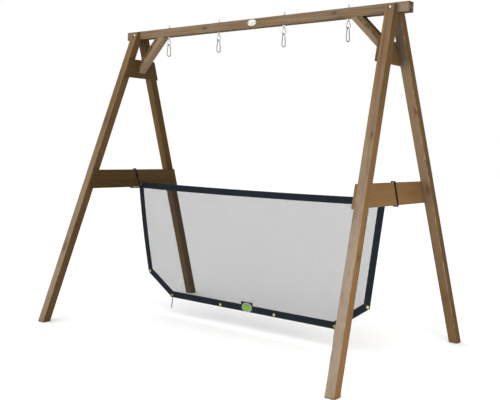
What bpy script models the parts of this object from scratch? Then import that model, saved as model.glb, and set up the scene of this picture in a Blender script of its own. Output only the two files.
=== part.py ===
"""A wooden play frame: a beam on two leaning A-frames, four sprung hooks, and a net below.

Metres, +Z up. X runs along the beam, -Y is the front, and the origin is on the ground, at the
middle of the four feet.
"""

import math

import bmesh
import bpy
from mathutils import Matrix, Vector

# Timber
BEAM_LENGTH = 2.780
BEAM_SIDE = 0.070
BEAM_TOP = 2.500  # height of the beam's top above the ground
POST_SIDE = 0.070
FRAME_DEPTH = 1.870  # over the front and back feet, on the ground
BEAM_END = 0.160  # beam past the A-frames' inner faces, at the height of its top
FRAME_LEAN = math.radians(3.6)  # each A-frame leans in towards the beam
LEG_NOTCH = 0.045  # how far the beam is let into a leg, at the height of its top
LEG_TOP_DROP = 0.010  # leg's top below the beam's
BOARD_HEIGHT = 0.160
BOARD_THICKNESS = 0.018
BOARD_OVER_BRACE = 0.0127  # upper board's top above the brace that bears on it
CROSSBAR_BOTTOM = 1.112  # above the ground
BRACE_SIDE = 0.070
BRACE_SET_IN = 0.295  # brace's near edge under the beam, in from the A-frame
BRACE_ANGLE = math.radians(45)
EASED_EDGE = 0.003
GAP = 0.0003  # between pieces that touch

# Fasteners
BOLT_RADIUS = 0.005
BORE_CLEARANCE = 0.0005
THREAD_CLEARANCE = 0.0003
BOLT_DROP = 0.035  # leg bolt below the beam's top
BOLT_HEAD_RADIUS = 0.011
BOLT_HEAD_HEIGHT = 0.005
SPOT_FACE_RADIUS = 0.014
SPOT_FACE_DEPTH = 0.001  # at its shallowest
WASHER_RADIUS = 0.0125
WASHER_THICKNESS = 0.0025
NUT_ACROSS_FLATS = 0.017
NUT_HEIGHT = 0.008
NUT_CORNER_CUT = 0.0004  # chamfer's depth past the flats
BOLT_END = 0.002  # thread past the nut

# Hooks
INNER_HOOK = 0.330  # from the beam's middle
OUTER_HOOK_GAP = 0.035  # from the outer hook to the brace's near edge
EYE_WIRE_RADIUS = 0.0045
EYE_DROP = 0.073  # beam's underside to the middle of the eye's lowest wire
EYE_TOP_DROP = 0.0165
EYE_RADIUS = 0.0175
EYE_TOP_RADIUS = 0.006
EYE_COLLAR_RADIUS = 0.013
EYE_COLLAR_HEIGHT = 0.004
EYE_NECK_RADIUS = 0.006
EYE_NECK_SINK = 0.0015  # neck's end below the top of the eye's wire line
EYE_STUD_TOP = 0.030  # above the beam
HOOK_WASHER_RADIUS = 0.015
HOOK_WASHER_THICKNESS = 0.003

# Carabiners
SNAP_WIRE_RADIUS = 0.0045
SNAP_LENGTH = 0.110
SNAP_WIDTH = 0.054
SNAP_TOP_RADIUS = 0.014
TONGUE_THICKNESS = 0.004
TONGUE_RADIUS = 0.0036
GATE_RADIUS = 0.0045
GATE_START = 0.008  # hinge pin below the top of the straight flank
NOSE_STUB = 0.007  # wire left on the flank's lower end
NOSE_LENGTH = 0.0066
NOSE_WIDTH = 0.0058
NOSE_INSET = 0.0004  # nose's front below the wire's surface
GATE_END_CLEARANCE = 0.0006
SLOT_CLEARANCE = 0.0003
SLOT_END_CLEARANCE = 0.0008
PIN_RADIUS = 0.0012
PIN_LENGTH = 0.0094

# Net and its hem
NET_PLANE = 0.035  # the net hangs this far behind the beam's middle
NET_LEFT_GAP = 0.006  # from the left crossbar to the hem's top corner
NET_RIGHT_GAP = 0.061  # the right corner hangs further off, on its lashing
NET_LEFT_RISE = 0.048  # top corners above the crossbars' lower edge
NET_RIGHT_RISE = 0.043
NET_LEFT_DROP = 0.815  # lower side corners below the top ones
NET_RIGHT_DROP = 0.803
NET_SIDE_TAPER_LEFT = 0.146  # and nearer the middle
NET_SIDE_TAPER_RIGHT = 0.099
NET_CORNER_DROP = 0.189  # bottom edge below the lower side corners
NET_BOTTOM_LENGTH = 1.700
NET_SAG = 0.010  # top edge, at its middle
NET_BULGE = 0.013  # left edge, at its middle
NET_THICKNESS = 0.002
NET_PITCH = 0.100
NET_STRAND = 0.0045
NET_LEAST_CELL = 0.25  # part of a square; smaller ones at the edge stay filled
NET_EDGE_CLEARANCE = 0.0015
HEM_WIDTH = 0.055
HEM_BAND = 0.035  # outer part of the hem, which holds the eyelets; the rest grips the net
HEM_THICKNESS = 0.0046
EYELET_RADIUS = 0.013
EYELET_BORE_RADIUS = 0.0065
EYELET_WALL = 0.0007
EYELET_FLANGE = 0.0012
MIDDLE_EYELETS = (-0.281, 0.281)  # along the bottom edge

# Lashings
LASHING_RADIUS = 0.004
LASHING_CLEARANCE = 0.0018  # off the crossbar, as the cord's stiffness leaves it
LASHING_TURN_CLEARANCE = 0.0046  # cord's line off the crossbar's corners, on each side of them
LASHING_FACE_START = 0.012  # cord's first points on the crossbar's faces, from its edges
LASHING_PASS = 0.009  # straight run each side of an eyelet

# Cord's way along the crossbar: inside it, over it, under it
LASHING_LEFT_ALONG = (-0.011, -0.015, -0.036)
LASHING_RIGHT_ALONG = (0.006, 0.004, 0.053)

# Cord's points from its eyelet: across, behind the net's plane, up
LASHING_LEFT_UP = (-0.0083, -0.017, 0.0229)
LASHING_RIGHT_UP = (0.0178, -0.0135, 0.0148)
LASHING_LEFT_BACK = ((-0.0243, -0.003, -0.0361), (-0.0138, 0.0115, -0.0251))
LASHING_RIGHT_BACK = ((0.0528, 0.015, -0.0222), (0.0228, 0.0125, -0.0072))

# Cord's points from the crossbar's upper inner edge: off it, behind the net's plane, up
LASHING_LEFT_RISE = ((0.005517, -0.027, -0.071647), (0.004517, -0.038, -0.039647))
LASHING_RIGHT_RISE = ((0.028644, -0.021, -0.073647),)
LASHING_LEFT_KNOT = (0.006517, -0.029, -0.061147)
LASHING_LEFT_KNOT_SIZE = (0.0085, 0.0115, 0.016)  # half sizes
LASHING_RIGHT_KNOT = (0.028144, -0.021, -0.073647)
LASHING_RIGHT_KNOT_SIZE = (0.011, 0.0115, 0.014)

# The same from its lower inner edge
LASHING_LEFT_UNDER = (-0.000936, -0.040, -0.006963)
LASHING_RIGHT_UNDER = (0.006690, 0.017, -0.005963)

# Ground pegs
PEG_RADIUS = 0.0035
PEG_HOOK_REACH = 0.013  # hook's two legs, from the net's plane
PEG_HOOK_DROP = 0.018  # hook's end below the eyelet's middle
PEG_HOOK_END = 0.8  # thickness of the hook's end, as part of the wire's
PEG_BEND_RADIUS = 0.0063
PEG_POINT_LENGTH = 0.020
PEG_POINT_END = 0.2
PEG_LEFT_TIP = Vector((-0.016, 0.048))  # across from the hem's corner, and above the ground
PEG_RIGHT_TIP = Vector((-0.021, 0.068))

# Badges
BEAM_BADGE_CENTRE = Vector((0.043, -0.032))  # along the beam, and from its top
BEAM_BADGE_SIZE = (0.084, 0.048)
BEAM_BADGE_THICKNESS = 0.0025
PATCH_CENTRE = Vector((0.005, 0.041))  # along the net, and from its bottom edge
PATCH_SIZE = (0.124, 0.082)
PATCH_THICKNESS = 0.0016
HEM_BADGE_CENTRE = Vector((0.009, 0.037))
HEM_BADGE_SIZE = (0.102, 0.076)
HEM_BADGE_THICKNESS = 0.002

# Worked out from the sizes above
CLEAR_SPAN = BEAM_LENGTH - 2 * BEAM_END  # between the A-frames, at the height of the beam's top
BEAM_BOTTOM = BEAM_TOP - BEAM_SIDE
BEAM_MIDDLE = BEAM_TOP - BEAM_SIDE / 2
BORE_RADIUS = BOLT_RADIUS + BORE_CLEARANCE
LEAN = math.tan(FRAME_LEAN)
LEG_STAND_OUT = POST_SIDE - LEG_NOTCH  # leg past the beam's face
SPREAD = (FRAME_DEPTH / 2 - BEAM_SIDE / 2 - LEG_STAND_OUT) / BEAM_TOP
LEG_WIDTH = POST_SIDE / math.cos(FRAME_LEAN)  # level, along X
LEG_DEPTH = POST_SIDE / math.cos(math.atan(SPREAD))  # level, along Y
LEG_TOP = BEAM_TOP - LEG_TOP_DROP
BRACE_TOE = CLEAR_SPAN / 2 - BRACE_SET_IN
OUTER_HOOK = BRACE_TOE - OUTER_HOOK_GAP
HOOK_PLACES = (-OUTER_HOOK, -INNER_HOOK, INNER_HOOK, OUTER_HOOK)
BOLT_HEIGHT = BEAM_TOP - BOLT_DROP
PIVOT_HEIGHT = BEAM_BOTTOM - EYE_DROP  # the carabiners swing about the eyes' lowest wire
LEVEL_TO_FRONT = (math.radians(90), 0, 0)  # turns a flat XY shape up to face -Y
FLAT_TO_SIDE = Matrix(((0, 0, 1, 0), (1, 0, 0, 0), (0, 1, 0, 0), (0, 0, 0, 1)))  # to face +X
BOARD_LEVEL_THICKNESS = BOARD_THICKNESS / math.cos(FRAME_LEAN)  # along X


def leg_inner_face(height):
    """Distance of an A-frame's inner face from the beam's middle."""
    return CLEAR_SPAN / 2 + LEAN * (BEAM_TOP - height)


def leg_outer_edge(height):
    """Distance of a leg's outer edge from the plane of the beam."""
    return FRAME_DEPTH / 2 - SPREAD * height


def board_face(height):
    """Distance of the boards' inner faces from the beam's middle."""
    return leg_inner_face(height) - GAP - BOARD_LEVEL_THICKNESS


def brace_foot(start):
    """Where a brace's edge that starts under the beam meets the upper board, as (x, height)."""
    top = BEAM_BOTTOM - GAP
    fall = math.tan(BRACE_ANGLE)
    run = (board_face(top) - GAP - start) / (1 - LEAN * fall)
    return start + run, top - fall * run


BRACE_HEEL = BRACE_TOE + BRACE_SIDE / math.sin(BRACE_ANGLE)  # its far edge under the beam
UPPER_BOARD_TOP = brace_foot(BRACE_HEEL)[1] + BOARD_OVER_BRACE
BOARD_LEVEL_HEIGHT = BOARD_HEIGHT * math.cos(FRAME_LEAN)
CROSSBAR_TOP = CROSSBAR_BOTTOM + BOARD_LEVEL_HEIGHT


# Scene and materials
for stale in list(bpy.data.objects):
    bpy.data.objects.remove(stale)

parts = bpy.data.collections.new("wooden_play_frame")
cutters = bpy.data.collections.new("cutters")
bpy.context.scene.collection.children.link(parts)
bpy.context.scene.collection.children.link(cutters)


def new_material(name, colour, roughness, metallic=0.0):
    material = bpy.data.materials.new(name)
    material.use_nodes = True
    shader = material.node_tree.nodes["Principled BSDF"]
    shader.inputs["Base Color"].default_value = (*colour, 1.0)
    shader.inputs["Roughness"].default_value = roughness
    shader.inputs["Metallic"].default_value = metallic
    return material


TIMBER = new_material("timber", (0.26, 0.16, 0.085), 0.7)
STEEL = new_material("zinc_steel", (0.62, 0.63, 0.64), 0.35, 1.0)
DARK_STEEL = new_material("peg_steel", (0.12, 0.12, 0.13), 0.45, 1.0)
BRASS = new_material("brass", (0.55, 0.42, 0.12), 0.4, 1.0)
NET_CORD = new_material("net_cord", (0.05, 0.055, 0.06), 0.8)
WEBBING = new_material("hem_webbing", (0.03, 0.035, 0.05), 0.85)
ROPE = new_material("lashing_rope", (0.04, 0.04, 0.045), 0.8)
PLASTIC = new_material("badge_plastic", (0.42, 0.43, 0.42), 0.4)
PATCH_CLOTH = new_material("patch_cloth", (0.01, 0.01, 0.012), 0.8)
BADGE_GREEN = new_material("badge_green", (0.25, 0.5, 0.03), 0.5)


# Making shapes
def place(name, mesh, material, location=(0, 0, 0), rotation=(0, 0, 0), collection=parts):
    piece = bpy.data.objects.new(name, mesh)
    if material:
        mesh.materials.clear()
        mesh.materials.append(material)
    piece.location = location
    piece.rotation_euler = rotation
    collection.objects.link(piece)
    return piece


def mesh_from(bm, name):
    mesh = bpy.data.meshes.new(name)
    bm.to_mesh(mesh)
    bm.free()
    return mesh


def box_mesh(name, size, eased_axis=None):
    """Box about the origin; the four edges along eased_axis are rounded."""
    bm = bmesh.new()
    bmesh.ops.create_cube(bm, size=1.0)
    bmesh.ops.scale(bm, vec=size, verts=bm.verts)
    if eased_axis is not None:
        long_edges = []
        for edge in bm.edges:
            run = edge.verts[1].co - edge.verts[0].co
            if abs(run[eased_axis]) > 0:
                long_edges.append(edge)
        bmesh.ops.bevel(
            bm, geom=long_edges, offset=EASED_EDGE, segments=2, profile=0.5, affect="EDGES"
        )
    return mesh_from(bm, name)


def cylinder_mesh(name, radius, length, sides=16):
    """Round bar about the origin, along Z."""
    bm = bmesh.new()
    bmesh.ops.create_cone(
        bm, cap_ends=True, segments=sides, radius1=radius, radius2=radius, depth=length
    )
    return mesh_from(bm, name)


def settled(piece):
    """The piece's evaluated mesh, welded and with flat faces whole; the piece itself is removed."""
    graph = bpy.context.evaluated_depsgraph_get()
    graph.update()
    mesh = bpy.data.meshes.new_from_object(piece.evaluated_get(graph))
    bm = bmesh.new()
    bm.from_mesh(mesh)
    bmesh.ops.remove_doubles(bm, verts=bm.verts, dist=1e-6)
    bmesh.ops.dissolve_limit(
        bm, angle_limit=math.radians(0.05), verts=bm.verts, edges=bm.edges, delimit={"NORMAL"}
    )
    bm.to_mesh(mesh)
    bm.free()
    bpy.data.objects.remove(piece)
    return mesh


def flat_mesh(name, loops, thickness):
    """Flat plate in XY about z = 0, from closed outlines; a loop inside another is a hole."""
    curve = bpy.data.curves.new(name, "CURVE")
    curve.dimensions = "2D"
    curve.fill_mode = "BOTH"
    curve.extrude = thickness / 2
    for loop in loops:
        spline = curve.splines.new("POLY")
        spline.points.add(len(loop) - 1)
        for point, (x, y) in zip(spline.points, loop):
            point.co = (x, y, 0, 1)
        spline.use_cyclic_u = True
    return settled(place(name, curve, None))


def wire_mesh(name, points, radius, closed=False, resolution=2, radii=None):
    """Round wire along the points, with closed ends."""
    curve = bpy.data.curves.new(name, "CURVE")
    curve.dimensions = "3D"
    curve.bevel_depth = radius
    curve.bevel_resolution = resolution
    curve.use_fill_caps = True
    spline = curve.splines.new("POLY")
    spline.points.add(len(points) - 1)
    for i, (point, place_of) in enumerate(zip(spline.points, points)):
        point.co = (*place_of, 1)
        point.radius = radii[i] if radii else 1.0
    spline.use_cyclic_u = closed
    return settled(place(name, curve, None))


def turned_mesh(name, profile, steps=16, closed=False):
    """Shape turned about Z from (radius, height) points that run down its outer side."""
    bm = bmesh.new()
    verts = [bm.verts.new((radius, 0, height)) for radius, height in profile]
    for first, second in zip(verts, verts[1:] + verts[:1] if closed else verts[1:]):
        bm.edges.new((first, second))
    piece = place(name, mesh_from(bm, name), None)
    screw = piece.modifiers.new("turn", "SCREW")
    screw.axis = "Z"
    screw.steps = steps
    screw.render_steps = steps
    screw.use_merge_vertices = True
    screw.merge_threshold = 1e-6
    return settled(piece)


def boolean(piece, tool, operation):
    modifier = piece.modifiers.new(tool.name, "BOOLEAN")
    modifier.operation = operation
    modifier.solver = "EXACT"
    modifier.object = tool


def merged(base, additions, cuts=()):
    """Mesh of a base mesh with others joined on and cut out, all about one origin."""
    piece = place("blank", base, None)
    tools = []
    for operation, meshes in (("UNION", additions), ("DIFFERENCE", cuts)):
        for mesh in meshes:
            tool = place("tool", mesh, None, collection=cutters)
            boolean(piece, tool, operation)
            tools.append(tool)
    mesh = settled(piece)
    for tool in tools:
        bpy.data.objects.remove(tool)
    return mesh


def moved(mesh, *steps):
    for step in steps:
        mesh.transform(step)
    return mesh


def new_cutter(name, mesh, location=(0, 0, 0), rotation=(0, 0, 0)):
    cutter = place(name, mesh, None, location, rotation, cutters)
    cutter.hide_render = True
    cutter.display_type = "WIRE"
    return cutter


def smooth(mesh):
    mesh.shade_smooth()
    mesh.set_sharp_from_angle(angle=math.radians(35))
    return mesh


def arc(centre, radius, start, end, steps):
    """(across, height) points round a centre on the height axis, from one angle to another."""
    points = []
    for i in range(steps + 1):
        angle = start + (end - start) * i / steps
        points.append((radius * math.cos(angle), centre + radius * math.sin(angle)))
    return points


def pear(top, bottom, top_radius, bottom_radius):
    """Two arcs joined by straight flanks: the arcs' points, the flank's angle and its length."""
    top_centre = top - top_radius
    bottom_centre = bottom + bottom_radius
    between = top_centre - bottom_centre
    flank_lean = math.asin((bottom_radius - top_radius) / between)
    over = arc(top_centre, top_radius, math.pi - flank_lean, flank_lean, 10)
    under = arc(bottom_centre, bottom_radius, flank_lean, -math.pi - flank_lean, 13)
    return over, under, flank_lean, between * math.cos(flank_lean)


def smooth_route(points, steps):
    """Closed smooth curve through the points."""
    route = []
    count = len(points)
    for i in range(count):
        before, start, end, after = (Vector(points[(i + k) % count]) for k in (-1, 0, 1, 2))
        for step in range(steps):
            t = step / steps
            route.append(
                0.5
                * (
                    2 * start
                    + (end - before) * t
                    + (2 * before - 5 * start + 4 * end - after) * t**2
                    + (3 * start - before - 3 * end + after) * t**3
                )
            )
    return route


def ellipse(centre, size, steps=28):
    points = []
    for i in range(steps):
        angle = 2 * math.pi * i / steps
        across = centre[0] + size[0] / 2 * math.cos(angle)
        points.append((across, centre[1] + size[1] / 2 * math.sin(angle)))
    return points


# Beam
beam = place(
    "top_beam",
    box_mesh("top_beam", (BEAM_LENGTH, BEAM_SIDE, BEAM_SIDE), eased_axis=0),
    TIMBER,
    (0, 0, BEAM_MIDDLE),
)
for number, x in enumerate(HOOK_PLACES, 1):
    bore = cylinder_mesh("hook_bore", BORE_RADIUS, 2 * BEAM_SIDE)
    boolean(beam, new_cutter(f"hook_bore_{number}", bore, (x, 0, BEAM_MIDDLE)), "DIFFERENCE")


# A-frames
def sheared(mesh, x_per_height, y_per_height):
    shear = Matrix.Identity(4)
    shear[0][2] = x_per_height
    shear[1][2] = y_per_height
    mesh.transform(shear)
    return mesh


beam_notch = new_cutter(
    "beam_notch",
    box_mesh(
        "beam_notch", (BEAM_LENGTH, BEAM_SIDE + 2 * GAP, BEAM_SIDE + 2 * GAP + LEG_TOP_DROP)
    ),
    (0, 0, BEAM_BOTTOM - GAP + (BEAM_SIDE + 2 * GAP + LEG_TOP_DROP) / 2),
)
seat = leg_outer_edge(BOLT_HEIGHT + SPOT_FACE_RADIUS) - SPOT_FACE_DEPTH
SIDES = (("left", -1), ("right", 1))
FACES = (("front", -1), ("back", 1))
bolt_places = {}

for side_name, side in SIDES:
    bolt_x = side * (leg_inner_face(BOLT_HEIGHT) + LEG_WIDTH / 2)
    bolt_places[side_name] = bolt_x
    bolt_bore = new_cutter(
        f"bolt_bore_{side_name}",
        cylinder_mesh("bolt_bore", BORE_RADIUS, 4 * BEAM_SIDE),
        (bolt_x, 0, BOLT_HEIGHT),
        LEVEL_TO_FRONT,
    )
    boolean(beam, bolt_bore, "DIFFERENCE")
    for face_name, face in FACES:
        post = box_mesh("leg", (LEG_WIDTH, LEG_DEPTH, LEG_TOP), eased_axis=2)
        moved(post, Matrix.Translation((0, 0, LEG_TOP / 2)))
        sheared(post, -side * LEAN, -face * SPREAD)
        leg = place(
            f"leg_{face_name}_{side_name}",
            post,
            TIMBER,
            (
                side * (leg_inner_face(0) + LEG_WIDTH / 2),
                face * (leg_outer_edge(0) - LEG_DEPTH / 2),
                0,
            ),
        )
        spot_depth = BEAM_SIDE
        spot_face = new_cutter(
            f"spot_face_{face_name}_{side_name}",
            cylinder_mesh("spot_face", SPOT_FACE_RADIUS, spot_depth),
            (bolt_x, face * (seat + spot_depth / 2), BOLT_HEIGHT),
            LEVEL_TO_FRONT,
        )
        boolean(leg, beam_notch, "DIFFERENCE")
        boolean(leg, bolt_bore, "DIFFERENCE")
        boolean(leg, spot_face, "DIFFERENCE")


# Boards across the A-frames
def add_board(name, side, bottom):
    """Board on an A-frame's inner faces, its ends cut in line with the legs' outer edges."""
    top = bottom + BOARD_LEVEL_HEIGHT
    outline = [
        (-leg_outer_edge(bottom), 0),
        (leg_outer_edge(bottom), 0),
        (leg_outer_edge(top), top - bottom),
        (-leg_outer_edge(top), top - bottom),
    ]
    mesh = flat_mesh(name, [outline], BOARD_LEVEL_THICKNESS)
    sheared(moved(mesh, FLAT_TO_SIDE), -side * LEAN, 0)
    middle = side * (leg_inner_face(bottom) - GAP - BOARD_LEVEL_THICKNESS / 2)
    board = place(name, mesh, TIMBER, (middle, 0, bottom))
    bevel = board.modifiers.new("eased_edges", "BEVEL")
    bevel.width = EASED_EDGE / 2
    bevel.segments = 1
    bevel.limit_method = "ANGLE"
    return board


for side_name, side in SIDES:
    add_board(f"upper_board_{side_name}", side, UPPER_BOARD_TOP - BOARD_LEVEL_HEIGHT)
    add_board(f"crossbar_{side_name}", side, CROSSBAR_BOTTOM)


# Knee braces between the beam and the upper boards
for side_name, side in SIDES:
    outline = [
        (BRACE_TOE, BEAM_BOTTOM - GAP),
        (BRACE_HEEL, BEAM_BOTTOM - GAP),
        brace_foot(BRACE_HEEL),
        brace_foot(BRACE_TOE),
    ]
    outline = [(side * (x - BRACE_TOE), z - BEAM_BOTTOM) for x, z in outline]
    brace = place(
        f"knee_brace_{side_name}",
        flat_mesh("knee_brace", [outline], BRACE_SIDE),
        TIMBER,
        (side * BRACE_TOE, 0, BEAM_BOTTOM),
        LEVEL_TO_FRONT,
    )
    bevel = brace.modifiers.new("eased_edges", "BEVEL")
    bevel.width = EASED_EDGE
    bevel.segments = 2
    bevel.limit_method = "ANGLE"


# Bolts, washers and nuts
def washer_mesh(name, radius, thickness):
    """Flat ring standing on z = 0."""
    hole = BOLT_RADIUS + THREAD_CLEARANCE
    profile = [(hole, thickness), (radius, thickness), (radius, 0), (hole, 0)]
    return turned_mesh(name, profile, closed=True)


def nut_mesh(name):
    """Hexagon nut standing on z = 0, its outer corners turned off."""
    corner = NUT_ACROSS_FLATS / math.sqrt(3)
    bm = bmesh.new()
    bmesh.ops.create_cone(
        bm, cap_ends=True, segments=6, radius1=corner, radius2=corner, depth=NUT_HEIGHT
    )
    chamfer = corner - NUT_ACROSS_FLATS / 2 + NUT_CORNER_CUT
    reach = math.tan(math.radians(30))
    profile = [
        (0, NUT_HEIGHT / 2),
        (corner - chamfer, NUT_HEIGHT / 2),
        (corner + chamfer, NUT_HEIGHT / 2 - 2 * chamfer * reach),
        (corner + chamfer, -NUT_HEIGHT),
        (0, -NUT_HEIGHT),
    ]
    blank = place("blank", mesh_from(bm, name), None)
    tool = place("tool", turned_mesh("chamfer", profile), None, collection=cutters)
    boolean(blank, tool, "INTERSECT")
    mesh = settled(blank)
    bpy.data.objects.remove(tool)
    bore = cylinder_mesh("bore", BOLT_RADIUS + THREAD_CLEARANCE, 2 * NUT_HEIGHT)
    mesh = merged(mesh, [], [bore])
    return moved(mesh, Matrix.Translation((0, 0, NUT_HEIGHT / 2)))


nut = smooth(nut_mesh("hex_nut"))
leg_washer = smooth(washer_mesh("leg_washer", WASHER_RADIUS, WASHER_THICKNESS))
hook_washer = smooth(washer_mesh("hook_washer", HOOK_WASHER_RADIUS, HOOK_WASHER_THICKNESS))


def bolt_mesh(length):
    """Dome-headed bolt: the head stands on z = 0 and the shank hangs below."""
    head = []
    sphere = (BOLT_HEAD_RADIUS**2 + BOLT_HEAD_HEIGHT**2) / (2 * BOLT_HEAD_HEIGHT)
    half_angle = math.asin(BOLT_HEAD_RADIUS / sphere)
    for i in range(5):
        angle = half_angle * i / 4
        height = BOLT_HEAD_HEIGHT - sphere + sphere * math.cos(angle)
        head.append((sphere * math.sin(angle), height))
    chamfer = BOLT_RADIUS / 6
    shank = [
        (BOLT_RADIUS, 0),
        (BOLT_RADIUS, chamfer - length),
        (BOLT_RADIUS - chamfer, -length),
        (0, -length),
    ]
    return turned_mesh("leg_bolt", head + shank)


bolt_length = 2 * (seat + GAP) + WASHER_THICKNESS + GAP + NUT_HEIGHT + BOLT_END
leg_bolt = smooth(bolt_mesh(bolt_length))
FACING_BACK = (math.radians(-90), 0, 0)
for side_name, side in SIDES:
    x = bolt_places[side_name]
    washer_y = seat + GAP
    nut_y = washer_y + WASHER_THICKNESS + GAP
    place(f"leg_bolt_{side_name}", leg_bolt, STEEL, (x, -seat - GAP, BOLT_HEIGHT), LEVEL_TO_FRONT)
    place(f"leg_washer_{side_name}", leg_washer, STEEL, (x, washer_y, BOLT_HEIGHT), FACING_BACK)
    place(f"leg_nut_{side_name}", nut, STEEL, (x, nut_y, BOLT_HEIGHT), FACING_BACK)


# Eye bolts: the origin is where a carabiner swings, in the middle of the eye's lowest wire
def eye_bolt_mesh():
    beam_under = EYE_DROP - GAP
    collar_under = beam_under - EYE_COLLAR_HEIGHT
    eye_top = EYE_DROP - EYE_TOP_DROP
    stud_top = EYE_DROP + BEAM_SIDE + EYE_STUD_TOP
    chamfer = BOLT_RADIUS / 6
    profile = [
        (0, stud_top),
        (BOLT_RADIUS - chamfer, stud_top),
        (BOLT_RADIUS, stud_top - chamfer),
        (BOLT_RADIUS, beam_under),
        (EYE_COLLAR_RADIUS, beam_under),
        (EYE_COLLAR_RADIUS, collar_under),
        (EYE_NECK_RADIUS, collar_under),
        (EYE_NECK_RADIUS, eye_top - EYE_NECK_SINK),
        (0, eye_top - EYE_NECK_SINK),
    ]
    stud = turned_mesh("stud", profile)
    over, under, _, _ = pear(eye_top, 0, EYE_TOP_RADIUS, EYE_RADIUS)
    ring = [(x, 0, z) for x, z in over + under]
    eye = wire_mesh("eye", ring, EYE_WIRE_RADIUS, closed=True)
    return merged(stud, [eye])


# Carabiners: the same origin, the long way down, the gate on the front flank
snap_top = EYE_WIRE_RADIUS + GAP + SNAP_WIRE_RADIUS
snap_bottom = snap_top - (SNAP_LENGTH - 2 * SNAP_WIRE_RADIUS)
snap_over, snap_under, flank_lean, flank_length = pear(
    snap_top, snap_bottom, SNAP_TOP_RADIUS, SNAP_WIDTH / 2 - SNAP_WIRE_RADIUS
)
gate_length = flank_length - GATE_START - NOSE_STUB
FLANK_DOWN = Vector((0, -math.sin(flank_lean), -math.cos(flank_lean)))
FLANK_OUT = Vector((0, -math.cos(flank_lean), math.sin(flank_lean)))


def on_flank(down, out=0.0):
    """Point beside the front flank: down from its top, and outwards from its middle line."""
    top = Vector((0, snap_over[0][0], snap_over[0][1]))
    return top + down * FLANK_DOWN + out * FLANK_OUT


def flank_frame(down, out=0.0):
    """Places a shape so that its -Z runs down the flank and its -Y points out of it."""
    turn = Matrix.Rotation(-flank_lean, 4, "X")
    return Matrix.Translation(on_flank(down, out)) @ turn


def carabiner_mesh():
    hinge_shoulder = GATE_START - GATE_RADIUS - GATE_END_CLEARANCE
    nose_shoulder = GATE_START + gate_length + GATE_END_CLEARANCE
    path = [on_flank(hinge_shoulder)]
    path += [Vector((0, y, z)) for y, z in snap_over + snap_under]
    path.append(on_flank(nose_shoulder))
    wire = wire_mesh("snap_wire", path, SNAP_WIRE_RADIUS)
    rounded = arc(-GATE_START, TONGUE_RADIUS, math.pi, 2 * math.pi, 10)
    neck = -hinge_shoulder / 2
    tongue = flat_mesh(
        "tongue", [[(TONGUE_RADIUS, neck), (-TONGUE_RADIUS, neck), *rounded]], TONGUE_THICKNESS
    )
    moved(tongue, FLAT_TO_SIDE, flank_frame(0))
    nose_overlap = NOSE_STUB / 2
    nose = box_mesh("nose", (TONGUE_THICKNESS, NOSE_WIDTH, NOSE_LENGTH + nose_overlap))
    nose_middle = nose_shoulder + (nose_overlap - NOSE_LENGTH) / 2
    moved(nose, flank_frame(nose_middle, SNAP_WIRE_RADIUS - NOSE_INSET - NOSE_WIDTH / 2))
    across = Matrix.Rotation(math.radians(90), 4, "Y")
    bore = cylinder_mesh("pin_bore", PIN_RADIUS + SLOT_CLEARANCE, 4 * TONGUE_THICKNESS, 12)
    moved(bore, across, flank_frame(GATE_START))
    return merged(wire, [tongue, nose], [bore])


def gate_mesh():
    """Gate hanging down from its hinge pin at the origin, its outer side towards -Y."""
    profile = []
    for i in range(5):
        angle = math.pi / 2 * i / 4
        profile.append((GATE_RADIUS * math.sin(angle), GATE_RADIUS * math.cos(angle)))
    chamfer = GATE_RADIUS / 6
    profile += [
        (GATE_RADIUS, chamfer - gate_length),
        (GATE_RADIUS - chamfer, -gate_length),
        (0, -gate_length),
    ]
    bar = turned_mesh("gate_bar", profile, steps=12)
    slot = TONGUE_THICKNESS + 2 * SLOT_CLEARANCE
    hinge_depth = TONGUE_RADIUS + SLOT_END_CLEARANCE
    hinge_slot = box_mesh("hinge_slot", (slot, 4 * GATE_RADIUS, hinge_depth + 2 * GATE_RADIUS))
    moved(hinge_slot, Matrix.Translation((0, 0, GATE_RADIUS - hinge_depth / 2)))
    nose_depth = NOSE_LENGTH + GATE_END_CLEARANCE + SLOT_END_CLEARANCE
    nose_slot = box_mesh("nose_slot", (slot, 2 * GATE_RADIUS, 2 * nose_depth))
    nose_inner = NOSE_WIDTH + NOSE_INSET - SNAP_WIRE_RADIUS + SLOT_CLEARANCE
    moved(nose_slot, Matrix.Translation((0, nose_inner - GATE_RADIUS, -gate_length)))
    bore = cylinder_mesh("pin_bore", PIN_RADIUS + SLOT_CLEARANCE, 4 * GATE_RADIUS, 12)
    moved(bore, Matrix.Rotation(math.radians(90), 4, "Y"))
    return merged(bar, [], [hinge_slot, nose_slot, bore])


eye_bolt = smooth(eye_bolt_mesh())
snap = smooth(carabiner_mesh())
gate = smooth(gate_mesh())
pin = smooth(cylinder_mesh("gate_pin", PIN_RADIUS, PIN_LENGTH, 12))
for number, x in enumerate(HOOK_PLACES, 1):
    washer_z = BEAM_TOP + GAP
    nut_z = washer_z + HOOK_WASHER_THICKNESS + GAP
    place(f"eye_bolt_{number}", eye_bolt, STEEL, (x, 0, PIVOT_HEIGHT))
    place(f"hook_washer_{number}", hook_washer, STEEL, (x, 0, washer_z))
    place(f"hook_nut_{number}", nut, STEEL, (x, 0, nut_z))
    carabiner = place(f"carabiner_{number}", snap, STEEL, (x, 0, PIVOT_HEIGHT))
    hinge = on_flank(GATE_START)
    hung_gate = place(f"carabiner_gate_{number}", gate, STEEL, hinge, (-flank_lean, 0, 0))
    gate_pin = place(f"carabiner_pin_{number}", pin, STEEL, hinge, (0, math.radians(90), 0))
    hung_gate.parent = carabiner
    gate_pin.parent = carabiner


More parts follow.
